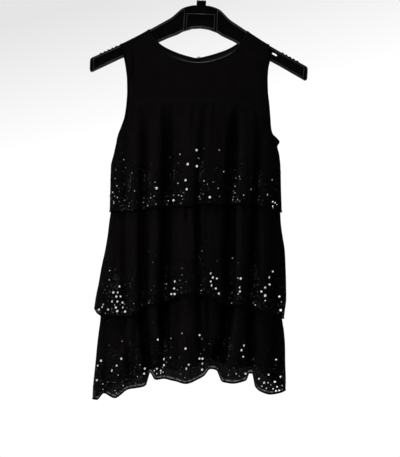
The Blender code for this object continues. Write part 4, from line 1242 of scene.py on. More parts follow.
# %% [markdown]
# ## Stitches
# A row of machine stitches is one short thread pill repeated along a line. The tree samples
# the line at the stitch length and turns each pill to follow it.

# %% Thread pill and stitch tree
STITCH_PITCH = 2.6
STITCH_LENGTH = 1.9
THREAD_RADIUS = 0.16
PILL_SIDES = 6
PILL_HALF = 0.5
PILL_RINGS = ((-0.42, 0.8), (0.0, 1.0), (0.42, 0.8))


def pill(name, length, radius, sides=PILL_SIDES):
    """Short rounded bar along Z, to be repeated."""
    builder = bmesh.new()
    rings = []
    for height, width in PILL_RINGS:
        ring = []
        for i in range(sides):
            turn = 2 * math.pi * i / sides
            ring.append(builder.verts.new((radius * width * math.cos(turn),
                                           radius * width * math.sin(turn), length * height)))
        rings.append(ring)
    ends = [builder.verts.new((0, 0, length * way * PILL_HALF)) for way in (-1, 1)]
    for ring, after in zip(rings, rings[1:]):
        for i in range(sides):
            j = (i + 1) % sides
            builder.faces.new((ring[i], ring[j], after[j], after[i]))
    for ring, end, turn in ((rings[0], ends[0], -1), (rings[-1], ends[1], 1)):
        for i in range(sides):
            corner = (ring[i], ring[(i + 1) % sides], end)
            builder.faces.new(corner[::turn])
    mesh = bpy.data.meshes.new(name)
    builder.to_mesh(mesh)
    builder.free()
    mesh.shade_smooth()
    return bpy.data.objects.new(name, mesh)


def stitch_tree():
    """Place the pill at even steps along a line."""
    tree, given = new_tree("Stitches", [
        ("Pitch", "Float"), ("Stitch", "Object"), ("Material", "Material")])
    line = add(tree, "GeometryNodeMeshToCurve", {"Mesh": given["Geometry"]})
    spots = add(tree, "GeometryNodeCurveToPoints", {
        "Curve": line.outputs["Curve"], "Length": given["Pitch"]}, mode="LENGTH")
    shape = add(tree, "GeometryNodeObjectInfo", {"Object": given["Stitch"]})
    placed = add(tree, "GeometryNodeInstanceOnPoints", {
        "Points": spots.outputs["Points"], "Instance": shape.outputs["Geometry"],
        "Rotation": spots.outputs["Rotation"]})
    end_tree(tree, placed.outputs["Instances"], given)
    return tree


STITCH_TREE = stitch_tree()
STITCH = pill("stitch_shape", STITCH_LENGTH * MM, THREAD_RADIUS * MM)


def stitches(name, paths):
    """Rows of stitches along paths in millimetres."""
    return run_tree(name, line_mesh(paths), STITCH_TREE,
                    {"Pitch": STITCH_PITCH * MM, "Stitch": STITCH}, THREAD)


# %% Where the stitches run
STITCH_LIFT = 0.1
STITCH_INSET = 0.9
NECK_STITCH_MARGIN = 3 * NECK_STEP
SEAM_STITCHES_ABOVE = (1.1, 3.4)
SEAM_STITCH_MARGIN = 0.02
HEM_STITCH_RISE = 1.0
LINE_POINTS = 160


def lifted(surface, side, across, at, lift):
    """Points of a surface, lifted off the cloth."""
    return surface.point(side, across, at) + surface.normal(side, across, at) * lift


def neck_stitch_paths():
    """Lines near the inner edge of the neck tapes."""
    made = []
    for _, side, low, high in YOKE_PANELS:
        yoke = YOKES[side]
        low = max(low, yoke.neck_left + NECK_STITCH_MARGIN)
        high = min(high, yoke.neck_right - NECK_STITCH_MARGIN)
        across = np.linspace(low, high, LINE_POINTS)
        path = yoke.start(across) + TAPE_WIDTH - STITCH_INSET
        made.append(lifted(yoke, side, across, path, TAPE_GAP + TAPE_THICK + STITCH_LIFT))
    return made


def seam_stitch_paths():
    """Two lines above the seam under the chest, in front and behind."""
    made = []
    across = np.linspace(SEAM_STITCH_MARGIN, 1 - SEAM_STITCH_MARGIN, LINE_POINTS)
    for side in (FRONT, BACK):
        for above in SEAM_STITCHES_ABOVE:
            path = YOKES[side].end(across) - above
            made.append(lifted(YOKES[side], side, across, path, STITCH_LIFT))
    return made


STITCH_ROWS = {
    "neck_stitches": stitches("neck_stitches", neck_stitch_paths()),
    "yoke_seam_stitches": stitches("yoke_seam_stitches", seam_stitch_paths()),
}
for tier in TIERS:
    path = hem_path(tier, CLOTH_THICK / 2 + STITCH_LIFT, HEM_RADIUS + HEM_STITCH_RISE)
    path = np.concatenate([path, path[:1]])
    STITCH_ROWS[tier.name] = stitches(f"{tier.name}_hem_stitches", [path])
print("stitch faces", {name: len(piece.data.polygons) for name, piece in STITCH_ROWS.items()})


# %% [markdown]
# ## Sequins
# Each sequin is a cupped disc five millimetres across with a hole in the middle. They crowd
# along every hem and thin out upwards. Geometry Nodes scatters them over the outer face with
# a least distance, so they never pile up, turns each one a little out of the cloth and
# keeps the seed fixed. An attribute that is worked out on each hem's band says how dense
# they are.

# %% One sequin
SEQUIN_RADIUS = 2.45
SEQUIN_HOLE = 0.75
SEQUIN_CUP = 0.3
SEQUIN_THICK = 0.16
SEQUIN_FLAT_CUP = 0.07
SEQUIN_SIDES = 10
SEQUIN_FACES = 4 * SEQUIN_SIDES
SEQUIN_CORNER = 40
SEQUIN_SIZES = (0.86, 1.06)


def sequin_shape(name, cup):
    """Disc with a hole and a raised rim, to be repeated."""
    section = ((SEQUIN_HOLE, 0.0), (SEQUIN_RADIUS, cup),
               (SEQUIN_RADIUS, cup - SEQUIN_THICK), (SEQUIN_HOLE, -SEQUIN_THICK))
    builder = bmesh.new()
    rings = []
    for i in range(SEQUIN_SIDES):
        turn = 2 * math.pi * i / SEQUIN_SIDES
        rings.append([builder.verts.new((width * MM * math.cos(turn), width * MM * math.sin(turn),
                                         height * MM)) for width, height in section])
    for i in range(SEQUIN_SIDES):
        ring, after = rings[i], rings[(i + 1) % SEQUIN_SIDES]
        for k in range(len(section)):
            m = (k + 1) % len(section)
            builder.faces.new((ring[k], after[k], after[m], ring[m]))
    bmesh.ops.recalc_face_normals(builder, faces=builder.faces[:])
    mesh = bpy.data.meshes.new(name)
    builder.to_mesh(mesh)
    builder.free()
    round_shade(mesh, SEQUIN_CORNER)
    return bpy.data.objects.new(name, mesh)


# %% Tree that scatters them
def scatter_tree():
    """Scatter cupped sequins by a density attribute and add the placed flat ones."""
    tree, given = new_tree("Sequins", [
        ("Distance", "Float"), ("Density", "Float"), ("Tilt", "Float"), ("Seed", "Int"),
        ("Cupped", "Object"), ("Flat", "Object"), ("Placed", "Object"),
        ("Material", "Material")])
    density = add(tree, "GeometryNodeInputNamedAttribute", {"Name": "density"}, data_type="FLOAT")
    spots = add(tree, "GeometryNodeDistributePointsOnFaces", {
        "Mesh": given["Geometry"], "Distance Min": given["Distance"],
        "Density Max": given["Density"], "Density Factor": density.outputs[0],
        "Seed": given["Seed"]}, distribute_method="POISSON")
    least = add(tree, "ShaderNodeMath", {0: given["Tilt"], 1: -1.0}, operation="MULTIPLY")
    most = add(tree, "ShaderNodeCombineXYZ", {"X": given["Tilt"], "Y": given["Tilt"],
                                              "Z": math.pi})
    low = add(tree, "ShaderNodeCombineXYZ", {"X": least.outputs[0], "Y": least.outputs[0],
                                             "Z": -math.pi})
    tilt = add(tree, "FunctionNodeRandomValue", {
        0: low.outputs[0], 1: most.outputs[0], "Seed": given["Seed"]}, data_type="FLOAT_VECTOR")
    turn = add(tree, "FunctionNodeEulerToRotation", {"Euler": tilt.outputs[0]})
    rotation = add(tree, "FunctionNodeRotateRotation", {
        "Rotation": spots.outputs["Rotation"], "Rotate By": turn.outputs[0]},
        rotation_space="LOCAL")
    size = add(tree, "FunctionNodeRandomValue", {
        2: SEQUIN_SIZES[0], 3: SEQUIN_SIZES[1], "Seed": given["Seed"]}, data_type="FLOAT")
    cupped = add(tree, "GeometryNodeObjectInfo", {"Object": given["Cupped"]})
    strewn = add(tree, "GeometryNodeInstanceOnPoints", {
        "Points": spots.outputs["Points"], "Instance": cupped.outputs["Geometry"],
        "Rotation": rotation.outputs[0], "Scale": size.outputs[1]})
    shine = add(tree, "FunctionNodeRandomValue", {2: 0.0, 3: 1.0, "Seed": given["Seed"]},
                data_type="FLOAT")
    marked = add(tree, "GeometryNodeStoreNamedAttribute", {
        "Geometry": strewn.outputs["Instances"], "Name": "shine", "Value": shine.outputs[1]},
        data_type="FLOAT", domain="INSTANCE")
    points = add(tree, "GeometryNodeObjectInfo", {"Object": given["Placed"]})
    facing = add(tree, "GeometryNodeInputNamedAttribute", {"Name": "facing"},
                 data_type="FLOAT_VECTOR")
    width = add(tree, "GeometryNodeInputNamedAttribute", {"Name": "width"}, data_type="FLOAT")
    towards = add(tree, "FunctionNodeAlignRotationToVector", {"Vector": facing.outputs[0]},
                  axis="Z")
    flat = add(tree, "GeometryNodeObjectInfo", {"Object": given["Flat"]})
    placed = add(tree, "GeometryNodeInstanceOnPoints", {
        "Points": points.outputs["Geometry"], "Instance": flat.outputs["Geometry"],
        "Rotation": towards.outputs[0], "Scale": width.outputs[0]})
    both = tree.nodes.new("GeometryNodeJoinGeometry")
    tree.links.new(marked.outputs["Geometry"], both.inputs[0])
    tree.links.new(placed.outputs["Instances"], both.inputs[0])
    end_tree(tree, both.outputs["Geometry"], given)
    return tree


SCATTER_TREE = scatter_tree()
CUPPED = sequin_shape("cupped_sequin", SEQUIN_CUP)
FLAT = sequin_shape("flat_sequin", SEQUIN_FLAT_CUP)


# %% [markdown]
# ## The light and the camera
# Their places come before the sequins, because the brightest sequins are the ones that
# happen to mirror a lamp. The camera is straight on and four metres off, as the photo shows
# hardly any perspective. One soft box up on the left does most of the work and a weak one
# fills the right. Two more hang above, one of them behind, for the rims and the far edge.

# %% Camera and lamps
CAMERA = np.array((-5.4, -4000.0, -516.2))
KEY_LAMP = np.array((-2300.0, -1800.0, 550.0))
TOP_LAMP = np.array((-200.0, -500.0, 1500.0))
AIM = np.array((0.0, 0.0, -480.0))
LENS = 157.9
SENSOR = 36.0


def aim(item, place):
    """Put a lamp at a place and point it at the dress."""
    item.location = [part * MM for part in place]
    towards = Vector([part * MM for part in AIM - place])
    item.rotation_euler = towards.to_track_quat("-Z", "Y").to_euler()


def soft_box(name, place, size, power):
    """Square area lamp."""
    data = bpy.data.lights.new(name, "AREA")
    data.size = size
    data.energy = power
    item = bpy.data.objects.new(name, data)
    bpy.context.scene.collection.objects.link(item)
    aim(item, np.array(place, float))
    return item


camera_data = bpy.data.cameras.new("camera")
camera_data.lens = LENS
camera_data.sensor_width = SENSOR
camera = bpy.data.objects.new("camera", camera_data)
bpy.context.scene.collection.objects.link(camera)
camera.location = [part * MM for part in CAMERA]
camera.rotation_euler = (math.pi / 2, 0, 0)
bpy.context.scene.camera = camera
Lamp = namedtuple("Lamp", "name place size power")
LAMPS = table(Lamp, [
    ("key", KEY_LAMP, 0.95, 44.0),
    ("fill", (1500.0, -3200.0, 300.0), 1.2, 2.5),
    ("rim", (-200.0, 900.0, 1500.0), 1.2, 70.0),
    ("top", TOP_LAMP, 0.6, 26.0),
])
for lamp in LAMPS:
    soft_box(*lamp)


# %% Backdrop and floor
def backdrop():
    """Nearly white wall for the camera, with painted shade towards its top left, and for all else a
    dim room, lighter behind the dress.
    """
    world = bpy.data.worlds.new("studio")
    bpy.context.scene.world = world
    world.use_nodes = True
    tree = world.node_tree
    background = tree.nodes["Background"]
    direction = add(tree, "ShaderNodeTexCoord").outputs["Generated"]
    parts = add(tree, "ShaderNodeSeparateXYZ", {"Vector": direction})
    room = add(tree, "ShaderNodeMapRange", {
        "Value": parts.outputs["Y"], "From Min": 0.1, "From Max": 0.9, "To Min": 0.02,
        "To Max": 0.22}, interpolation_type="SMOOTHSTEP")
    # Painted shade: the wall the camera sees grows darker towards the top, most at the top left.
    corner = add(tree, "ShaderNodeVectorMath", {0: direction, 1: (-0.25, 0.0, 1.0)},
                 operation="DOT_PRODUCT")
    wall = add(tree, "ShaderNodeMapRange", {
        "Value": corner.outputs["Value"], "From Min": 0.055, "From Max": 0.125, "To Min": 1.02,
        "To Max": 0.78})
    seen = add(tree, "ShaderNodeLightPath").outputs["Is Camera Ray"]
    mix = add(tree, "ShaderNodeMix", {0: seen, 2: room.outputs["Result"],
                                      3: wall.outputs["Result"]}, data_type="FLOAT")
    tree.links.new(mix.outputs[0], background.inputs["Strength"])
    background.inputs["Color"].default_value = (1, 1, 1, 1)


def floor():
    """Pale round floor well below the dress."""
    builder = bmesh.new()
    bmesh.ops.create_circle(builder, cap_ends=True, segments=96, radius=FLOOR_RADIUS)
    mesh = bpy.data.meshes.new("floor")
    builder.to_mesh(mesh)
    builder.free()
    mesh.transform(Matrix.Translation((0, 0, FLOOR_LEVEL)))
    material, _, _ = new_material("pale_floor", (0.8, 0.8, 0.79), 0.8)
    made = link("floor", mesh, material)


FLOOR_RADIUS = 2.6
FLOOR_LEVEL = -1.35
bpy.context.scene.view_settings.view_transform = "Standard"
backdrop()
floor()
print("camera", tuple(camera.location), "lens", camera_data.lens)


# %% [markdown]
# ## Where the sequins lie
# Density falls from the hem upwards, with patches, and keeps clear of the sprigs, which are
# small sequins sewn in stems and leaves. The brightest ones are placed one by one, each turned
# half way between a lamp and the camera, because that is what makes a mirror flash, or a few
# degrees off for a dimmer one. The far side of the dress is out of the key lamp's reach, so
# the ones there mirror the top lamp.

# %% Listed flashes
Flash = namedtuple("Flash", "x drop width turn")
FLASHES = {
    "tier_1": table(Flash, [
        (-156, 379, 0.8, 6.6), (-44, 368, 0.9, 6.2), (-13, 360, 1.0, 0), (34, 360, 0.9, 6.2),
        (-8, 376, 0.8, 6.6), (-30, 388, 1.1, 0), (-13, 392, 1.1, 0), (-92, 436, 1.1, 0),
        (-94, 424, 0.8, 6.6), (-34, 420, 1.0, 0), (-48, 426, 0.9, 6.2), (-32, 438, 1.0, 0),
        (42, 403, 0.9, 6.2), (14, 454, 1.1, 0), (-58, 460, 1.0, 0), (96, 438, 0.9, 6.2),
        (82, 450, 0.9, 6.2), (138, 419, 0.9, 6.2), (10, 428, 0.8, 6.6), (22, 424, 0.8, 6.6),
        (32, 436, 0.9, 6.2), (68, 416, 0.8, 6.6), (34, 452, 0.8, 6.6), (2, 448, 0.8, 6.6),
        (-178, 444, 0.9, 6.2), (-174, 452, 0.8, 6.6), (-176, 466, 0.9, 6.2), (129, 449, 0.9, 5.4),
        (139, 463, 0.9, 6.2), (144, 465, 0.7, 6.0), (147, 469, 0.6, 6.2), (139, 472, 0.9, 6.2),
        (140, 480, 0.8, 6.0), (134, 451, 0.9, 6.2),
    ]),
    "tier_2": table(Flash, [
        (-166, 632, 0.9, 1), (-178, 644, 1.0, 0), (-169, 644, 0.85, 3), (-172, 652, 0.95, 2),
        (-164, 652, 0.8, 0), (-180, 662, 1.0, 3.5), (-170, 662, 0.9, 0), (-160, 664, 0.9, 1),
        (-173, 674, 1.0, 0), (-159, 674, 0.85, 3), (-206, 678, 0.95, 2), (-188, 678, 0.8, 0),
        (-55, 622, 1.0, 3.5), (-57, 636, 0.9, 0), (-62, 647, 0.9, 1), (-56, 647, 1.0, 0),
        (16, 606, 0.85, 3), (20, 614, 0.95, 2), (28, 616, 0.8, 0), (16, 622, 0.8, 0),
        (18, 630, 1.0, 3.5), (26, 636, 0.9, 0), (32, 646, 0.9, 1), (76, 616, 1.0, 0),
        (74, 634, 0.85, 3), (74, 642, 0.95, 2), (138, 602, 0.8, 0), (132, 614, 1.0, 3.5),
        (132, 628, 0.9, 0), (124, 634, 0.9, 1), (117, 642, 1.0, 0), (124, 650, 1.15, 0),
        (152, 652, 0.95, 0), (154, 662, 0.9, 1), (154, 679, 1.2, 0), (-170, 681, 1.0, 0),
        (-154, 682, 1.0, 0), (-198, 668, 0.7, 3), (-200, 673, 0.7, 2), (124, 660, 0.6, 2),
        (71, 615, 0.6, 4),
    ]),
    "tier_3": table(Flash, [
        (-6, 729, 0.9, 0), (-90, 738, 0.9, 1), (-34, 756, 1.0, 0), (82, 750, 0.85, 3),
        (76, 759, 0.95, 2), (80, 772, 0.8, 0), (-76, 777, 1.0, 3.5), (-76, 789, 0.9, 0),
        (-7, 776, 0.9, 1), (0, 776, 1.0, 0), (0, 786, 0.85, 3), (-1, 798, 0.95, 2),
        (-28, 788, 0.8, 0), (-32, 796, 1.0, 3.5), (-117, 796, 0.9, 0), (-118, 806, 0.9, 1),
        (-202, 780, 1.0, 0), (-208, 790, 0.85, 3), (-162, 776, 0.95, 2), (-171, 790, 0.8, 0),
        (-180, 800, 1.0, 3.5), (-210, 819, 0.9, 0), (84, 806, 0.9, 1), (143, 822, 1.0, 0),
        (146, 778, 0.85, 3), (122, 824, 0.95, 2), (112, 816, 0.8, 0), (-84, 800, 0.8, 0),
        (-92, 796, 0.8, 0), (130, 808, 0.8, 0), (154, 812, 1.0, 3.5), (118, 831, 0.6, 2),
        (126, 835, 0.7, 3), (134, 828, 0.6, 2), (139, 836, 0.7, 3), (147, 832, 0.8, 0),
        (151, 839, 0.8, 0), (157, 829, 0.8, 0), (145, 840, 0.8, 0), (129, 824, 0.6, 2),
        (-92, 806, 0.6, 3), (-84, 805, 0.6, 2), (-78, 803, 0.6, 3), (-96, 800, 0.6, 2),
        (66, 806, 0.6, 3), (72, 810, 0.6, 3),
    ]),
}
FLASH_WIDTH = 0.9
FLASH_LIFT = 0.6
LEAN_LIFT = 0.8
FLASH_ABOVE_HEM = 3.0
SIDE_MARGIN = 0.003
SIGHT_STEPS = 4
FAR_SIDE = 138.5


def seen_at(tier, x, drop):
    """Share and drop of the front cloth that the camera sees at a place of the plane y = 0."""
    plane = np.array((x, 0.0, -drop))
    place = plane
    for _ in range(SIGHT_STEPS):
        across = np.clip(tier.shape.across(place[0], -place[2]), SIDE_MARGIN, 1 - SIDE_MARGIN)
        depth = tier.point(FRONT, across, -place[2])[1]
        place = plane + (CAMERA - plane) * depth / CAMERA[1]
    return float(across), float(min(-place[2], tier.hems[FRONT](across) - FLASH_ABOVE_HEM))


def flash_points(tier):
    """Places, directions, widths and shine of the listed flashes."""
    made = []
    for flash in FLASHES[tier.name]:
        across, drop = seen_at(tier, flash.x, flash.drop)
        place = tier.point(FRONT, across, drop)
        normal = tier.normal(FRONT, across, drop)
        lamp = TOP_LAMP if flash.x > FAR_SIDE else KEY_LAMP
        facing = unit(unit(CAMERA - place) + unit(lamp - place))
        off = math.tan(math.radians(flash.turn))
        facing = unit(facing + off * np.cross(facing, (0.0, 0.0, 1.0)))
        lean = np.sqrt(max(0.0, 1 - float(np.dot(normal, facing)) ** 2))
        lift = FLASH_LIFT + SEQUIN_RADIUS * LEAN_LIFT * lean
        made.append((place + normal * lift, facing, FLASH_WIDTH * flash.width, 1.0))
    return made


# %% Sprigs of small sequins
Sprig = namedtuple("Sprig", "x up turn size")
SPRIGS = {
    ("tier_1", FRONT): table(Sprig, [
        (-152, 44, 14, 0.9), (-112, 34, -10, 1.0), (-60, 50, 12, 0.95), (-6, 46, -14, 1.1),
        (46, 40, 10, 1.0), (112, 40, -12, 1.0),
    ]),
    ("tier_1", BACK): table(Sprig, [
        (-130, 42, 12, 1.0), (-74, 46, -12, 1.0), (-14, 40, 10, 1.1), (52, 44, -10, 1.0),
        (108, 38, 14, 0.9),
    ]),
    ("tier_2", FRONT): table(Sprig, [
        (-178, 50, 16, 1.0), (-128, 42, -12, 1.0), (-76, 46, 10, 1.0), (-14, 44, -10, 1.1),
        (44, 50, 12, 1.0), (98, 44, -12, 1.0), (140, 54, 10, 0.9),
    ]),
    ("tier_2", BACK): table(Sprig, [
        (-160, 46, 12, 1.0), (-96, 44, -10, 1.0), (-30, 44, 12, 1.1), (36, 48, -12, 1.0),
        (106, 44, 10, 1.0),
    ]),
    ("tier_3", FRONT): table(Sprig, [
        (-186, 56, 14, 1.0), (-138, 46, -12, 1.0), (-84, 44, 12, 1.0), (-26, 48, -10, 1.1),
        (42, 50, 12, 1.0), (92, 48, -12, 1.0), (134, 56, 14, 1.0),
    ]),
    ("tier_3", BACK): table(Sprig, [
        (-164, 48, 12, 1.0), (-104, 46, -12, 1.0), (-40, 46, 10, 1.1), (30, 48, -10, 1.0),
        (98, 46, 12, 1.0),
    ]),
}
BEAD_PITCH = 2.9
STEM_LENGTH = 34.0
STEM_BOW = 5.0
STEM_TURN = 0.8
LEAF_LENGTH = 12.0
LEAF_WIDTH = 3.4
LEAF_FULLNESS = 0.9
LEAF_LEAN = math.radians(48)
LEAF_PLACES = (0.15, 0.42, 0.7)


def stem_point(part):
    """Flat point of the bowed stem at a share of its length."""
    return STEM_BOW * math.sin(math.pi * part * STEM_TURN), STEM_LENGTH * part


def leaf_points(root, way):
    """Flat points round one leaf, which leans out of the stem to one side."""
    made = []
    steps = int(2 * LEAF_LENGTH / BEAD_PITCH)
    for i in range(1, steps):
        part = i / steps
        along = LEAF_LENGTH * (1 - abs(2 * part - 1))
        out = LEAF_WIDTH * math.sin(2 * math.pi * part) * LEAF_FULLNESS
        made.append((root[0] + way * (along * math.sin(LEAF_LEAN) + out * math.cos(LEAF_LEAN)),
                     root[1] + along * math.cos(LEAF_LEAN) - out * math.sin(LEAF_LEAN)))
    return made


def sprig_pattern():
    """Flat points of one sprig: a bowed stem with leaf outlines in pairs."""
    count = int(STEM_LENGTH / BEAD_PITCH)
    made = [stem_point(i / count) for i in range(count + 1)]
    for place in LEAF_PLACES:
        for way in (-1, 1):
            made += leaf_points(stem_point(place), way)
    return made


SPRIG_PATTERN = sprig_pattern()
SEQUIN_LIFT = 0.55
SPRIG_LEVEL = 0.9
SPRIG_MARGIN = 0.004
SPRIG_ABOVE_HEM = 4.0
BEAD_WIDTH = 0.42
BEAD_TILT = 0.07
BEAD_SHINE = 0.3


def sprig_points(tier, side, random):
    """Places, directions, widths and shine of the sprigs' small sequins."""
    flat_x, flat_up = np.array(SPRIG_PATTERN).T
    places = []
    for sprig in SPRIGS[tier.name, side]:
        turn = math.radians(sprig.turn)
        middle = tier.shape.across(sprig.x, SPRIG_LEVEL * tier.hems[side](0.5))
        foot = tier.hems[side](middle) - sprig.up
        x = sprig.x + sprig.size * (flat_x * math.cos(turn) + flat_up * math.sin(turn))
        drop = foot - sprig.size * (flat_up * math.cos(turn) - flat_x * math.sin(turn))
        across = np.clip(tier.shape.across(x, drop), SPRIG_MARGIN, 1 - SPRIG_MARGIN)
        places.append((across, np.minimum(drop, tier.hems[side](across) - SPRIG_ABOVE_HEM)))
    across = np.concatenate([row[0] for row in places])
    drop = np.concatenate([row[1] for row in places])
    normals = tier.normal(side, across, drop)
    points = tier.point(side, across, drop) + normals * SEQUIN_LIFT
    facing = unit(normals + random.normal(0, BEAD_TILT, normals.shape))
    shine = random.uniform(0, BEAD_SHINE, len(points))
    return [(point, way, BEAD_WIDTH, share) for point, way, share in zip(points, facing, shine)]


print("small sequins in a sprig", len(SPRIG_PATTERN))


# %% Scatter over the bands
BAND_HEIGHT = 128.0
BAND_FOOT = 3.0
BAND_ROWS = 34
BAND_COLUMNS = 180
SEQUIN_DISTANCE = 4.7
SEQUINS_PER_AREA = 60000.0
SEQUIN_TILT = math.radians(8)
DENSITY = curve([(0, 1.0), (22, 0.95), (36, 0.5), (60, 0.24), (90, 0.1), (128, 0.0)])
KEEP_CLEAR = 5.0
BARE_SHARE = 0.4
PATCH_DEPTH = 0.45
Wave = namedtuple("Wave", "across down")
PATCH_WAVES = (Wave(31, 0.05), Wave(17, -0.09))
FIRST_SEED = 3


def band_mesh(tier, side, placed):
    """Surface just off the cloth over a hem band, with a density on each point."""
    across = np.linspace(SIDE_MARGIN, 1 - SIDE_MARGIN, BAND_COLUMNS)[None, :]
    height = np.linspace(BAND_FOOT, BAND_HEIGHT, BAND_ROWS)[:, None]
    drop = tier.hems[side](across) - height
    across, drop = np.broadcast_arrays(across, drop)
    normals = tier.normal(side, across, drop)
    points = tier.point(side, across, drop) + normals * SEQUIN_LIFT
    first, second = [np.sin(wave.across * across + wave.down * drop) for wave in PATCH_WAVES]
    density = DENSITY(np.broadcast_to(height, drop.shape)) * (1 + PATCH_DEPTH * (first * second))
    for place, _, width, _ in placed:
        near = np.linalg.norm(points - place, axis=-1)
        density = density * smooth((near - BARE_SHARE * KEEP_CLEAR) / (KEEP_CLEAR * width))
    _, quads = grid_faces(*drop.shape)
    if side == BACK:
        quads = quads[:, ::-1]
    mesh = bpy.data.meshes.new("band")
    mesh.from_pydata((points.reshape(-1, 3) * MM).tolist(), [], quads.tolist())
    layer = mesh.attributes.new("density", "FLOAT", "POINT")
    layer.data.foreach_set("value", np.clip(density, 0, 1).astype(np.float32).ravel())
    return mesh


def placed_points(placed):
    """Object of single points with the way they face, their width and their shine."""
    mesh = bpy.data.meshes.new("placed")
    mesh.from_pydata([(row[0] * MM).tolist() for row in placed], [], [])
    facing = mesh.attributes.new("facing", "FLOAT_VECTOR", "POINT")
    facing.data.foreach_set("vector", np.array([row[1] for row in placed], np.float32).ravel())
    for name, index in (("width", 2), ("shine", 3)):
        layer = mesh.attributes.new(name, "FLOAT", "POINT")
        layer.data.foreach_set("value", np.array([row[index] for row in placed], np.float32))
    return bpy.data.objects.new("placed", mesh)


BEAD_SEED = 12
RANDOM = np.random.default_rng(BEAD_SEED)
SEQUINS = {}
for number, tier in enumerate(TIERS):
    for side in (FRONT, BACK):
        placed = sprig_points(tier, side, RANDOM)
        if side == FRONT:
            placed += flash_points(tier)
        name = f"{tier.name}_{LABEL[side]}_sequins"
        SEQUINS[tier.name, side] = run_tree(name, band_mesh(tier, side, placed), SCATTER_TREE, {
            "Distance": SEQUIN_DISTANCE * MM, "Density": SEQUINS_PER_AREA,
            "Tilt": SEQUIN_TILT, "Seed": FIRST_SEED + 2 * number + (side == BACK), "Cupped": CUPPED,
            "Flat": FLAT, "Placed": placed_points(placed)}, SEQUIN)
        count = len(SEQUINS[tier.name, side].data.polygons) // SEQUIN_FACES
        print(name, count, "sequins")


# %% [markdown]
# ## The nape closure
# A small domed button on a thread shank, turned on a lathe as one would draw it, and the
# loop of cord that slips over it.

# %% Button and loop
BUTTON_X = -7.5
BUTTON_DROP = 178.0
BUTTON_BELOW_EDGE = 3.0
BUTTON_RADIUS = 4.5
BUTTON_OFF = 3.1
BUTTON_SIDES = 28
LOOP_CORD = 0.55
LOOP_OPEN = math.radians(20)
LOOP_ROOT = 5.0
LOOP_ROOT_SPREAD = 1.6
LOOP_ROOT_IN = 1.0
LOOP_POINTS = 37
LOOP_SIDES = 10
Turned = namedtuple("Turned", "radius out")
BUTTON_PROFILE = table(Turned, [
    (0.9, -2.3), (0.9, -1.45), (3.0, -1.35), (4.2, -0.85), (4.5, -0.1), (4.25, 0.6), (3.75, 0.85),
    (3.45, 0.8), (2.6, 1.2), (1.2, 1.46), (0.25, 1.5),
])

yoke = YOKES[BACK]
button_across = float(yoke.shape.across(BUTTON_X, BUTTON_DROP))
button_seat = yoke.point(BACK, button_across, yoke.start(button_across) + BUTTON_BELOW_EDGE)
button_centre = button_seat + np.array((0.0, BUTTON_OFF, 0.0))
turn = 2 * math.pi * np.arange(BUTTON_SIDES) / BUTTON_SIDES
rings = []
for row in BUTTON_PROFILE:
    ring = [row.radius * np.cos(turn), np.full(BUTTON_SIDES, row.out), row.radius * np.sin(turn)]
    rings.append(button_centre + np.stack(ring, -1))
NAPE_BUTTON = loft("nape_button_turned", rings, BUTTON)
reach = BUTTON_RADIUS + LOOP_CORD + SEAM_GAP
angles = (math.pi - LOOP_OPEN) * (1 - 2 * np.linspace(0, 1, LOOP_POINTS))
ring = np.stack([reach * np.cos(angles), np.zeros(LOOP_POINTS), reach * np.sin(angles)], -1)
root = button_centre - np.array((reach + LOOP_ROOT, LOOP_ROOT_IN, 0.0))
spread_out = np.array((0.0, 0.0, LOOP_ROOT_SPREAD))
path = np.concatenate([[root + spread_out], button_centre + ring, [root - spread_out]])
NAPE_LOOP = tube("nape_loop_cord", path, LOOP_CORD, LOOP_SIDES, THREAD)
print("button at", button_centre.round(1))


# %% [markdown]
# ## Hanger and hook
# The solid hanger already has its recesses, ribs, teeth and slots. A merged copy with its flat
# faces joined again takes a small bevel, as moulded plastic has no sharp edges. The rims are
# rounded and catch the light, so the tree of the hems sweeps a thin bead along the solid's own
# rim edges, in a much lighter plastic that paints a highlight along them. The hook is drawn
# again with a rounder wire.

# %% Bevelled hanger
BEVEL = 0.4
RIM_BEAD = 0.6
RIM_Y = 4.9
SHARP = math.radians(35)
LEVEL_ANGLE = math.radians(1)
MERGE_DISTANCE = 0.00002
HANGER_CORNER = 40
RIM_SIDES = 8


def rim_line(builder):
    """Mesh of the sharp edges that lie on the hanger's front and back faces."""
    picked = [edge for edge in builder.edges if edge.calc_face_angle(0.0) > SHARP
              and min(abs(corner.co.y) for corner in edge.verts) > RIM_Y * MM
              and edge.verts[0].co.y * edge.verts[1].co.y > 0]
    used = sorted({corner.index for edge in picked for corner in edge.verts})
    place = {index: i for i, index in enumerate(used)}
    mesh = bpy.data.meshes.new("rim_line")
    mesh.from_pydata([tuple(builder.verts[index].co) for index in used],
                     [[place[corner.index] for corner in edge.verts] for edge in picked], [])
    return mesh


def bevelled_copy(name, node, material):
    """Merged copy of a solid with its edges bevelled, and the line of its rims."""
    mesh = node.data.copy()
    mesh.transform(node.matrix_world)
    builder = bmesh.new()
    builder.from_mesh(mesh)
    bmesh.ops.remove_doubles(builder, verts=builder.verts[:], dist=MERGE_DISTANCE)
    bmesh.ops.dissolve_limit(builder, angle_limit=LEVEL_ANGLE, verts=builder.verts[:],
                             edges=builder.edges[:])
    builder.verts.index_update()
    builder.verts.ensure_lookup_table()
    rims = rim_line(builder)
    builder.to_mesh(mesh)
    builder.free()
    made = link(name, mesh, material)
    round_shade(mesh, HANGER_CORNER)
    bevel = made.modifiers.new("bevel", "BEVEL")
    bevel.width = BEVEL * MM
    bevel.segments = 2
    bevel.limit_method = "ANGLE"
    bevel.angle_limit = SHARP
    bevel.use_clamp_overlap = True
    bevel.harden_normals = True
    return made, rims


HANGER, RIM_LINE = bevelled_copy("moulded_hanger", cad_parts["hanger_body"], PLASTIC)
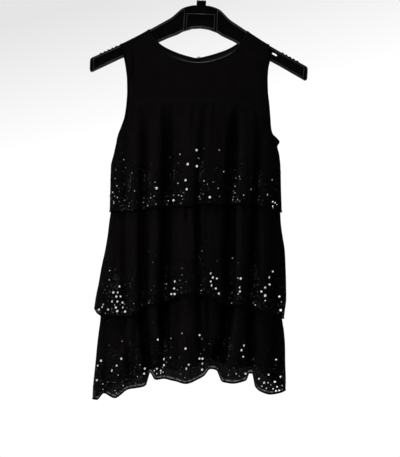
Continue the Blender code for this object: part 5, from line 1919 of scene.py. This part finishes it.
# The bead takes the lighter plastic, a painted highlight along the rims.
HANGER_BEAD = run_tree("hanger_rim_bead", RIM_LINE, CORD_TREE,
                       {"Radius": RIM_BEAD * MM, "Sides": RIM_SIDES}, PAINTED_HIGHLIGHT_RIM_PLASTIC)
HANGER_BEAD.data.shade_smooth()
print("hanger bead", len(HANGER_BEAD.data.polygons), "faces")


# %% Hook
WIRE_RADIUS = 2.0
HOOK_INSIDE_RADIUS = 20.0
HOOK_JOIN = math.radians(60)
HOOK_END = math.radians(205)
STEM_END_DROP = 84.0
STEM_POINTS = 8
BEND_POINTS = 14
ARC_POINTS = 72
WIRE_SIDES = 24


def hook_path():
    """Middle line of the hook's wire, from the bore to the open end."""
    radius = HOOK_INSIDE_RADIUS + WIRE_RADIUS
    join_x = radius * math.cos(HOOK_JOIN)
    join_z = -HOOK_INSIDE_RADIUS - radius * math.sin(HOOK_JOIN)
    bend_radius = join_x / (1 - math.cos(HOOK_JOIN))
    bend_z = join_z - bend_radius * math.sin(HOOK_JOIN)
    stem = [(0.0, 0.0, z) for z in np.linspace(-STEM_END_DROP, bend_z, STEM_POINTS)[:-1]]
    bend = [(bend_radius * (1 - math.cos(angle)), 0.0, bend_z + bend_radius * math.sin(angle))
            for angle in np.linspace(0, HOOK_JOIN, BEND_POINTS)[:-1]]
    turn = [(radius * math.cos(angle), 0.0, -HOOK_INSIDE_RADIUS + radius * math.sin(angle))
            for angle in np.linspace(-HOOK_JOIN, HOOK_END, ARC_POINTS)]
    return np.array(stem + bend + turn)


level = hook_path()
askew = np.stack([level[:, 0] * math.cos(TURN) + level[:, 2] * math.sin(TURN), level[:, 1],
                  level[:, 2] * math.cos(TURN) - level[:, 0] * math.sin(TURN)], -1)
HOOK = tube("wire_hook", askew, WIRE_RADIUS, WIRE_SIDES, STEEL)
print("hook", len(HOOK.data.polygons), "faces")


# %% [markdown]
# ## Put each piece on the body
# Every piece rides on the one body and stands for its solids, which are hidden. The cut size
# of each cloth panel is printed.

# %% Declarations
def declare(piece, slot, *nodes):
    """Ride on the root and stand for the solids named. The slot is not used."""
    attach(piece, "root")
    if nodes:
        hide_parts(*nodes)


for name, piece in CLOTH.items():
    declare(piece, "chiffon", name)
declare(TAPES["front"], "binding", "neck_binding_front")
declare(TAPES["back_left"], "binding", "neck_binding_back_left")
declare(TAPES["back_right"], "binding", "neck_binding_back_right")
declare(TAPES["left"], "binding", "armhole_binding_left_front", "armhole_binding_left_back")
declare(TAPES["right"], "binding", "armhole_binding_right_front", "armhole_binding_right_back")
declare(NAPE_BUTTON, "button", "nape_button")
declare(NAPE_LOOP, "binding", "nape_loop")
declare(HANGER, "moulded_plastic", "hanger_body")
declare(HANGER_BEAD, "moulded_plastic")
declare(HOOK, "steel_wire", "hanger_hook")
for piece in list(HEMS.values()) + list(SIDE_SEAMS.values()) + list(STITCH_ROWS.values()):
    declare(piece, "binding")
for piece in SEQUINS.values():
    declare(piece, "sequin")

YOKE_CUT = {"front_yoke": (0.315, 0.185), "back_yoke_left": (0.165, 0.165),
            "back_yoke_right": (0.165, 0.185)}
for tier in TIERS:
    for side in (FRONT, BACK):
        name = f"{tier.name}_{LABEL[side]}"
        area = surface_area(CLOTH[name])
        outer = OUTER[tier.name, side] * MM
        width = float(np.linalg.norm(np.diff(outer, axis=1), axis=-1).sum(axis=1).max())
        carried = [SEQUINS[tier.name, side]]
        if side == FRONT:
            carried += [HEMS[tier.name], SIDE_SEAMS[tier.name], STITCH_ROWS[tier.name]]
        print(name, "cut", round(width, 3), "by", round(area / width, 3), "m")
for name, (width, length) in YOKE_CUT.items():
    area = surface_area(CLOTH[name])
    print(name, "cut", width, "by", length, "area", round(area, 4))
